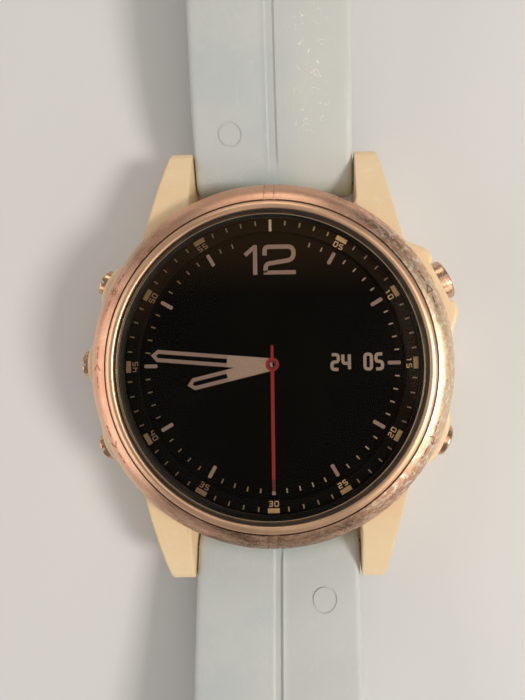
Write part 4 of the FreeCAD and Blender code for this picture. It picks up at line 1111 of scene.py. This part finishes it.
def band_z(r):
    if r <= BAND[0][0]:
        return BAND[0][1]
    for (r0, z0), (r1, z1) in zip(BAND, BAND[1:]):
        if r <= r1:
            return z0 + (z1 - z0) * (r - r0) / (r1 - r0)
    return BAND[-1][1]


def band_map(ang_deg, r0):
    """x runs counter-clockwise along the band (mm at r0), y outward."""
    def f(x, y, lev):
        a = math.radians(ang_deg) + x / r0
        r = r0 + y
        z = band_z(r) + (0.035 if lev else -0.05)
        return Vector((r * math.cos(a) * MM, r * math.sin(a) * MM, z * MM))
    return f


ENGRAVE = plain_metal("engraved_mark", (190, 138, 112), 0.42, "n")
SIGNS = {
    "light": (154.5, [(circle_pts(0.24, 16), True)] + [([(math.cos(k * math.pi / 4) * 0.36, math.sin(k * math.pi / 4) * 0.36),
                                                    (math.cos(k * math.pi / 4) * 0.54, math.sin(k * math.pi / 4) * 0.54)], False) for k in range(8)]),
    "up": (180.0, [([(0.34, 0.42), (-0.34, 0.0), (0.34, -0.42)], False)]),
    "down": (206.0, [([(-0.34, 0.42), (0.34, 0.0), (-0.34, -0.42)], False)]),
    "start": (25.0, [([(-0.36, -0.42), (0.42, 0.0), (-0.36, 0.42)], True)]),
    "back": (-26.0, [([(0.4, -0.4), (0.4, 0.15), (0.2, 0.35), (-0.4, 0.35)], False), ([(-0.1, 0.62), (-0.42, 0.35), (-0.1, 0.08)], False)]),
}
for key, (ang, paths) in SIGNS.items():
    f = Flat(band_map(ang, 19.75))
    for pts, closed in paths:
        dense = []
        m = len(pts)
        for i in range(m if closed else m - 1):
            a, b = Vector(pts[i]), Vector(pts[(i + 1) % m])
            for k in range(3):
                dense.append(tuple(a + (b - a) * k / 3))
        if not closed:
            dense.append(pts[-1])
        f.stroke(dense, 0.12, closed)
    # short dashes either side of the sign
    for sx in (1, -1):
        for k, (p, q) in enumerate(((1.0, 1.75), (1.98, 2.35))):
            n = 4
            f.stroke([(sx * (p + (q - p) * i / n), 0.0) for i in range(n + 1)], 0.15)
    f.build("mark_" + key, ENGRAVE)

# =============================================================== floor, light, camera
floor_me = bpy.data.meshes.new("floor")
S = 4.0
floor_me.from_pydata([(-S, -S, 0), (S, -S, 0), (S, S, 0), (-S, S, 0)], [], [(0, 1, 2, 3)])
floor = bpy.data.objects.new("floor", floor_me)
bpy.context.scene.collection.objects.link(floor)
floor.location.z = -0.0001
ft = Tree("floor_paper")
ft.set(Base_Color=ft.mix(ft.noise(scale=0.02, detail=2.0), srgb(221, 223, 225), srgb(226, 228, 230)), Roughness=0.8)
# far from the object the floor runs into the same even pale tone as the background, for the camera only
PALE = (0.70, 0.66, 0.61, 1)
fx, fy, fz = ft.xyz()
away = ft.step(ft.vmath("LENGTH", ft.vec(fx, fy, 0.0)), 170.0, 620.0)
flp = ft.nt.nodes.new("ShaderNodeLightPath")
fem = ft.nt.nodes.new("ShaderNodeEmission")
fem.inputs["Color"].default_value = PALE
fmx = ft.nt.nodes.new("ShaderNodeMixShader")
ft.link(ft.math("MULTIPLY", away, flp.outputs["Is Camera Ray"]), fmx.inputs[0])
ft.link(ft.b.outputs[0], fmx.inputs[1])
ft.link(fem.outputs[0], fmx.inputs[2])
ft.link(fmx.outputs[0], ft.out.inputs["Surface"])
floor_me.materials.append(ft.m)


# the floor stays just under the lowest of these points, so a strap half that hangs down isn't hidden in it
def probe(name, body, co):
    o = bpy.data.objects.new(name, None)
    bpy.context.scene.collection.objects.link(o)
    if body:
        o.parent = frame["bodies"][body]
    o.location = co
    o.hide_render = True
    return o


probes = [probe("floor_rest_level", None, (0, 0, -0.0001))]
for node in ("upper_strap", "lower_strap", "buckle_frame", "buckle_tongue"):
    pts = [v.co for v in NODES[node].data.vertices]
    near_y, far_y = sorted((min(p.y for p in pts), max(p.y for p in pts)), key=abs)
    for k in (0.3, 0.5, 0.7, 0.85, 1.0):
        y = near_y + (far_y - near_y) * k
        p = min((q for q in pts if abs(q.y - y) < 0.003), key=lambda q: q.z, default=None)
        if p is not None:
            probes.append(probe("low_%s_%d" % (node, k * 100), node, (0, p.y, max(p.z, 0.0))))
rule = floor.driver_add("location", 2).driver
rule.type = "MIN"
for o in probes:
    v = rule.variables.new()
    v.type = "TRANSFORMS"
    v.targets[0].id = o
    v.targets[0].transform_type = "LOC_Z"
    v.targets[0].transform_space = "WORLD_SPACE"

world = bpy.data.worlds.new("studio")
bpy.context.scene.world = world
world.use_nodes = True
wn = world.node_tree
bg = wn.nodes["Background"]
bg.inputs["Color"].default_value = (1.0, 0.94, 0.87, 1)
bg.inputs["Strength"].default_value = 0.24
# the background itself is pale, like the floor, while the light it gives stays low
lp = wn.nodes.new("ShaderNodeLightPath")
pale_bg = wn.nodes.new("ShaderNodeBackground")
pale_bg.inputs["Color"].default_value = PALE
wmix = wn.nodes.new("ShaderNodeMixShader")
wn.links.new(lp.outputs["Is Camera Ray"], wmix.inputs[0])
wn.links.new(bg.outputs[0], wmix.inputs[1])
wn.links.new(pale_bg.outputs[0], wmix.inputs[2])
wn.links.new(wmix.outputs[0], wn.nodes["World Output"].inputs["Surface"])


def area(name, loc, target, size, power, color=(1.0, 0.93, 0.84), sy=None):
    l = bpy.data.lights.new(name, "AREA")
    l.shape = "RECTANGLE"
    l.size, l.size_y = size, sy or size
    l.energy = power
    l.color = color
    o = bpy.data.objects.new(name, l)
    bpy.context.scene.collection.objects.link(o)
    o.location = loc
    o.rotation_euler = (Vector(target) - Vector(loc)).to_track_quat("-Z", "Y").to_euler()
    return o


area("key", (0.36, -0.08, 0.38), (0, 0, 0), 0.11, 1.5)
area("left", (-0.50, -0.08, 0.22), (0, 0, 0), 0.60, 0.95, (1.0, 0.90, 0.82), 0.34)
area("right_front", (0.36, -0.30, 0.26), (0, 0, 0), 0.30, 0.34, (1.0, 0.90, 0.80), 0.24)
area("top", (-0.05, 0.52, 0.30), (0, 0, 0), 0.34, 0.42, (1.0, 0.90, 0.78), 0.20)
area("overhead", (0.27, 0.04, 0.60), (0, 0, 0), 0.60, 0.56, (1.0, 0.93, 0.84), 0.34)

cam = bpy.data.cameras.new("camera")
cam.sensor_fit = "AUTO"
cam.sensor_width = 36.0
cam.lens = 526.0 / 700.0 * 36.0
cam.clip_start, cam.clip_end = 0.002, 10.0
cam.shift_x, cam.shift_y = -0.0699, -0.0647
co = bpy.data.objects.new("camera", cam)
bpy.context.scene.collection.objects.link(co)
rx, ry, rz = (math.radians(v) for v in (2.34, 0.62, -0.94))
co.matrix_world = Matrix.Translation((5.21 * MM, 4.29 * MM, 73.69 * MM)) @ (
    Matrix.Rotation(rz, 4, "Z") @ Matrix.Rotation(ry, 4, "Y") @ Matrix.Rotation(rx, 4, "X"))
bpy.context.scene.camera = co
bpy.context.scene.view_settings.view_transform = "Standard"
bpy.context.scene.view_settings.look = "None"
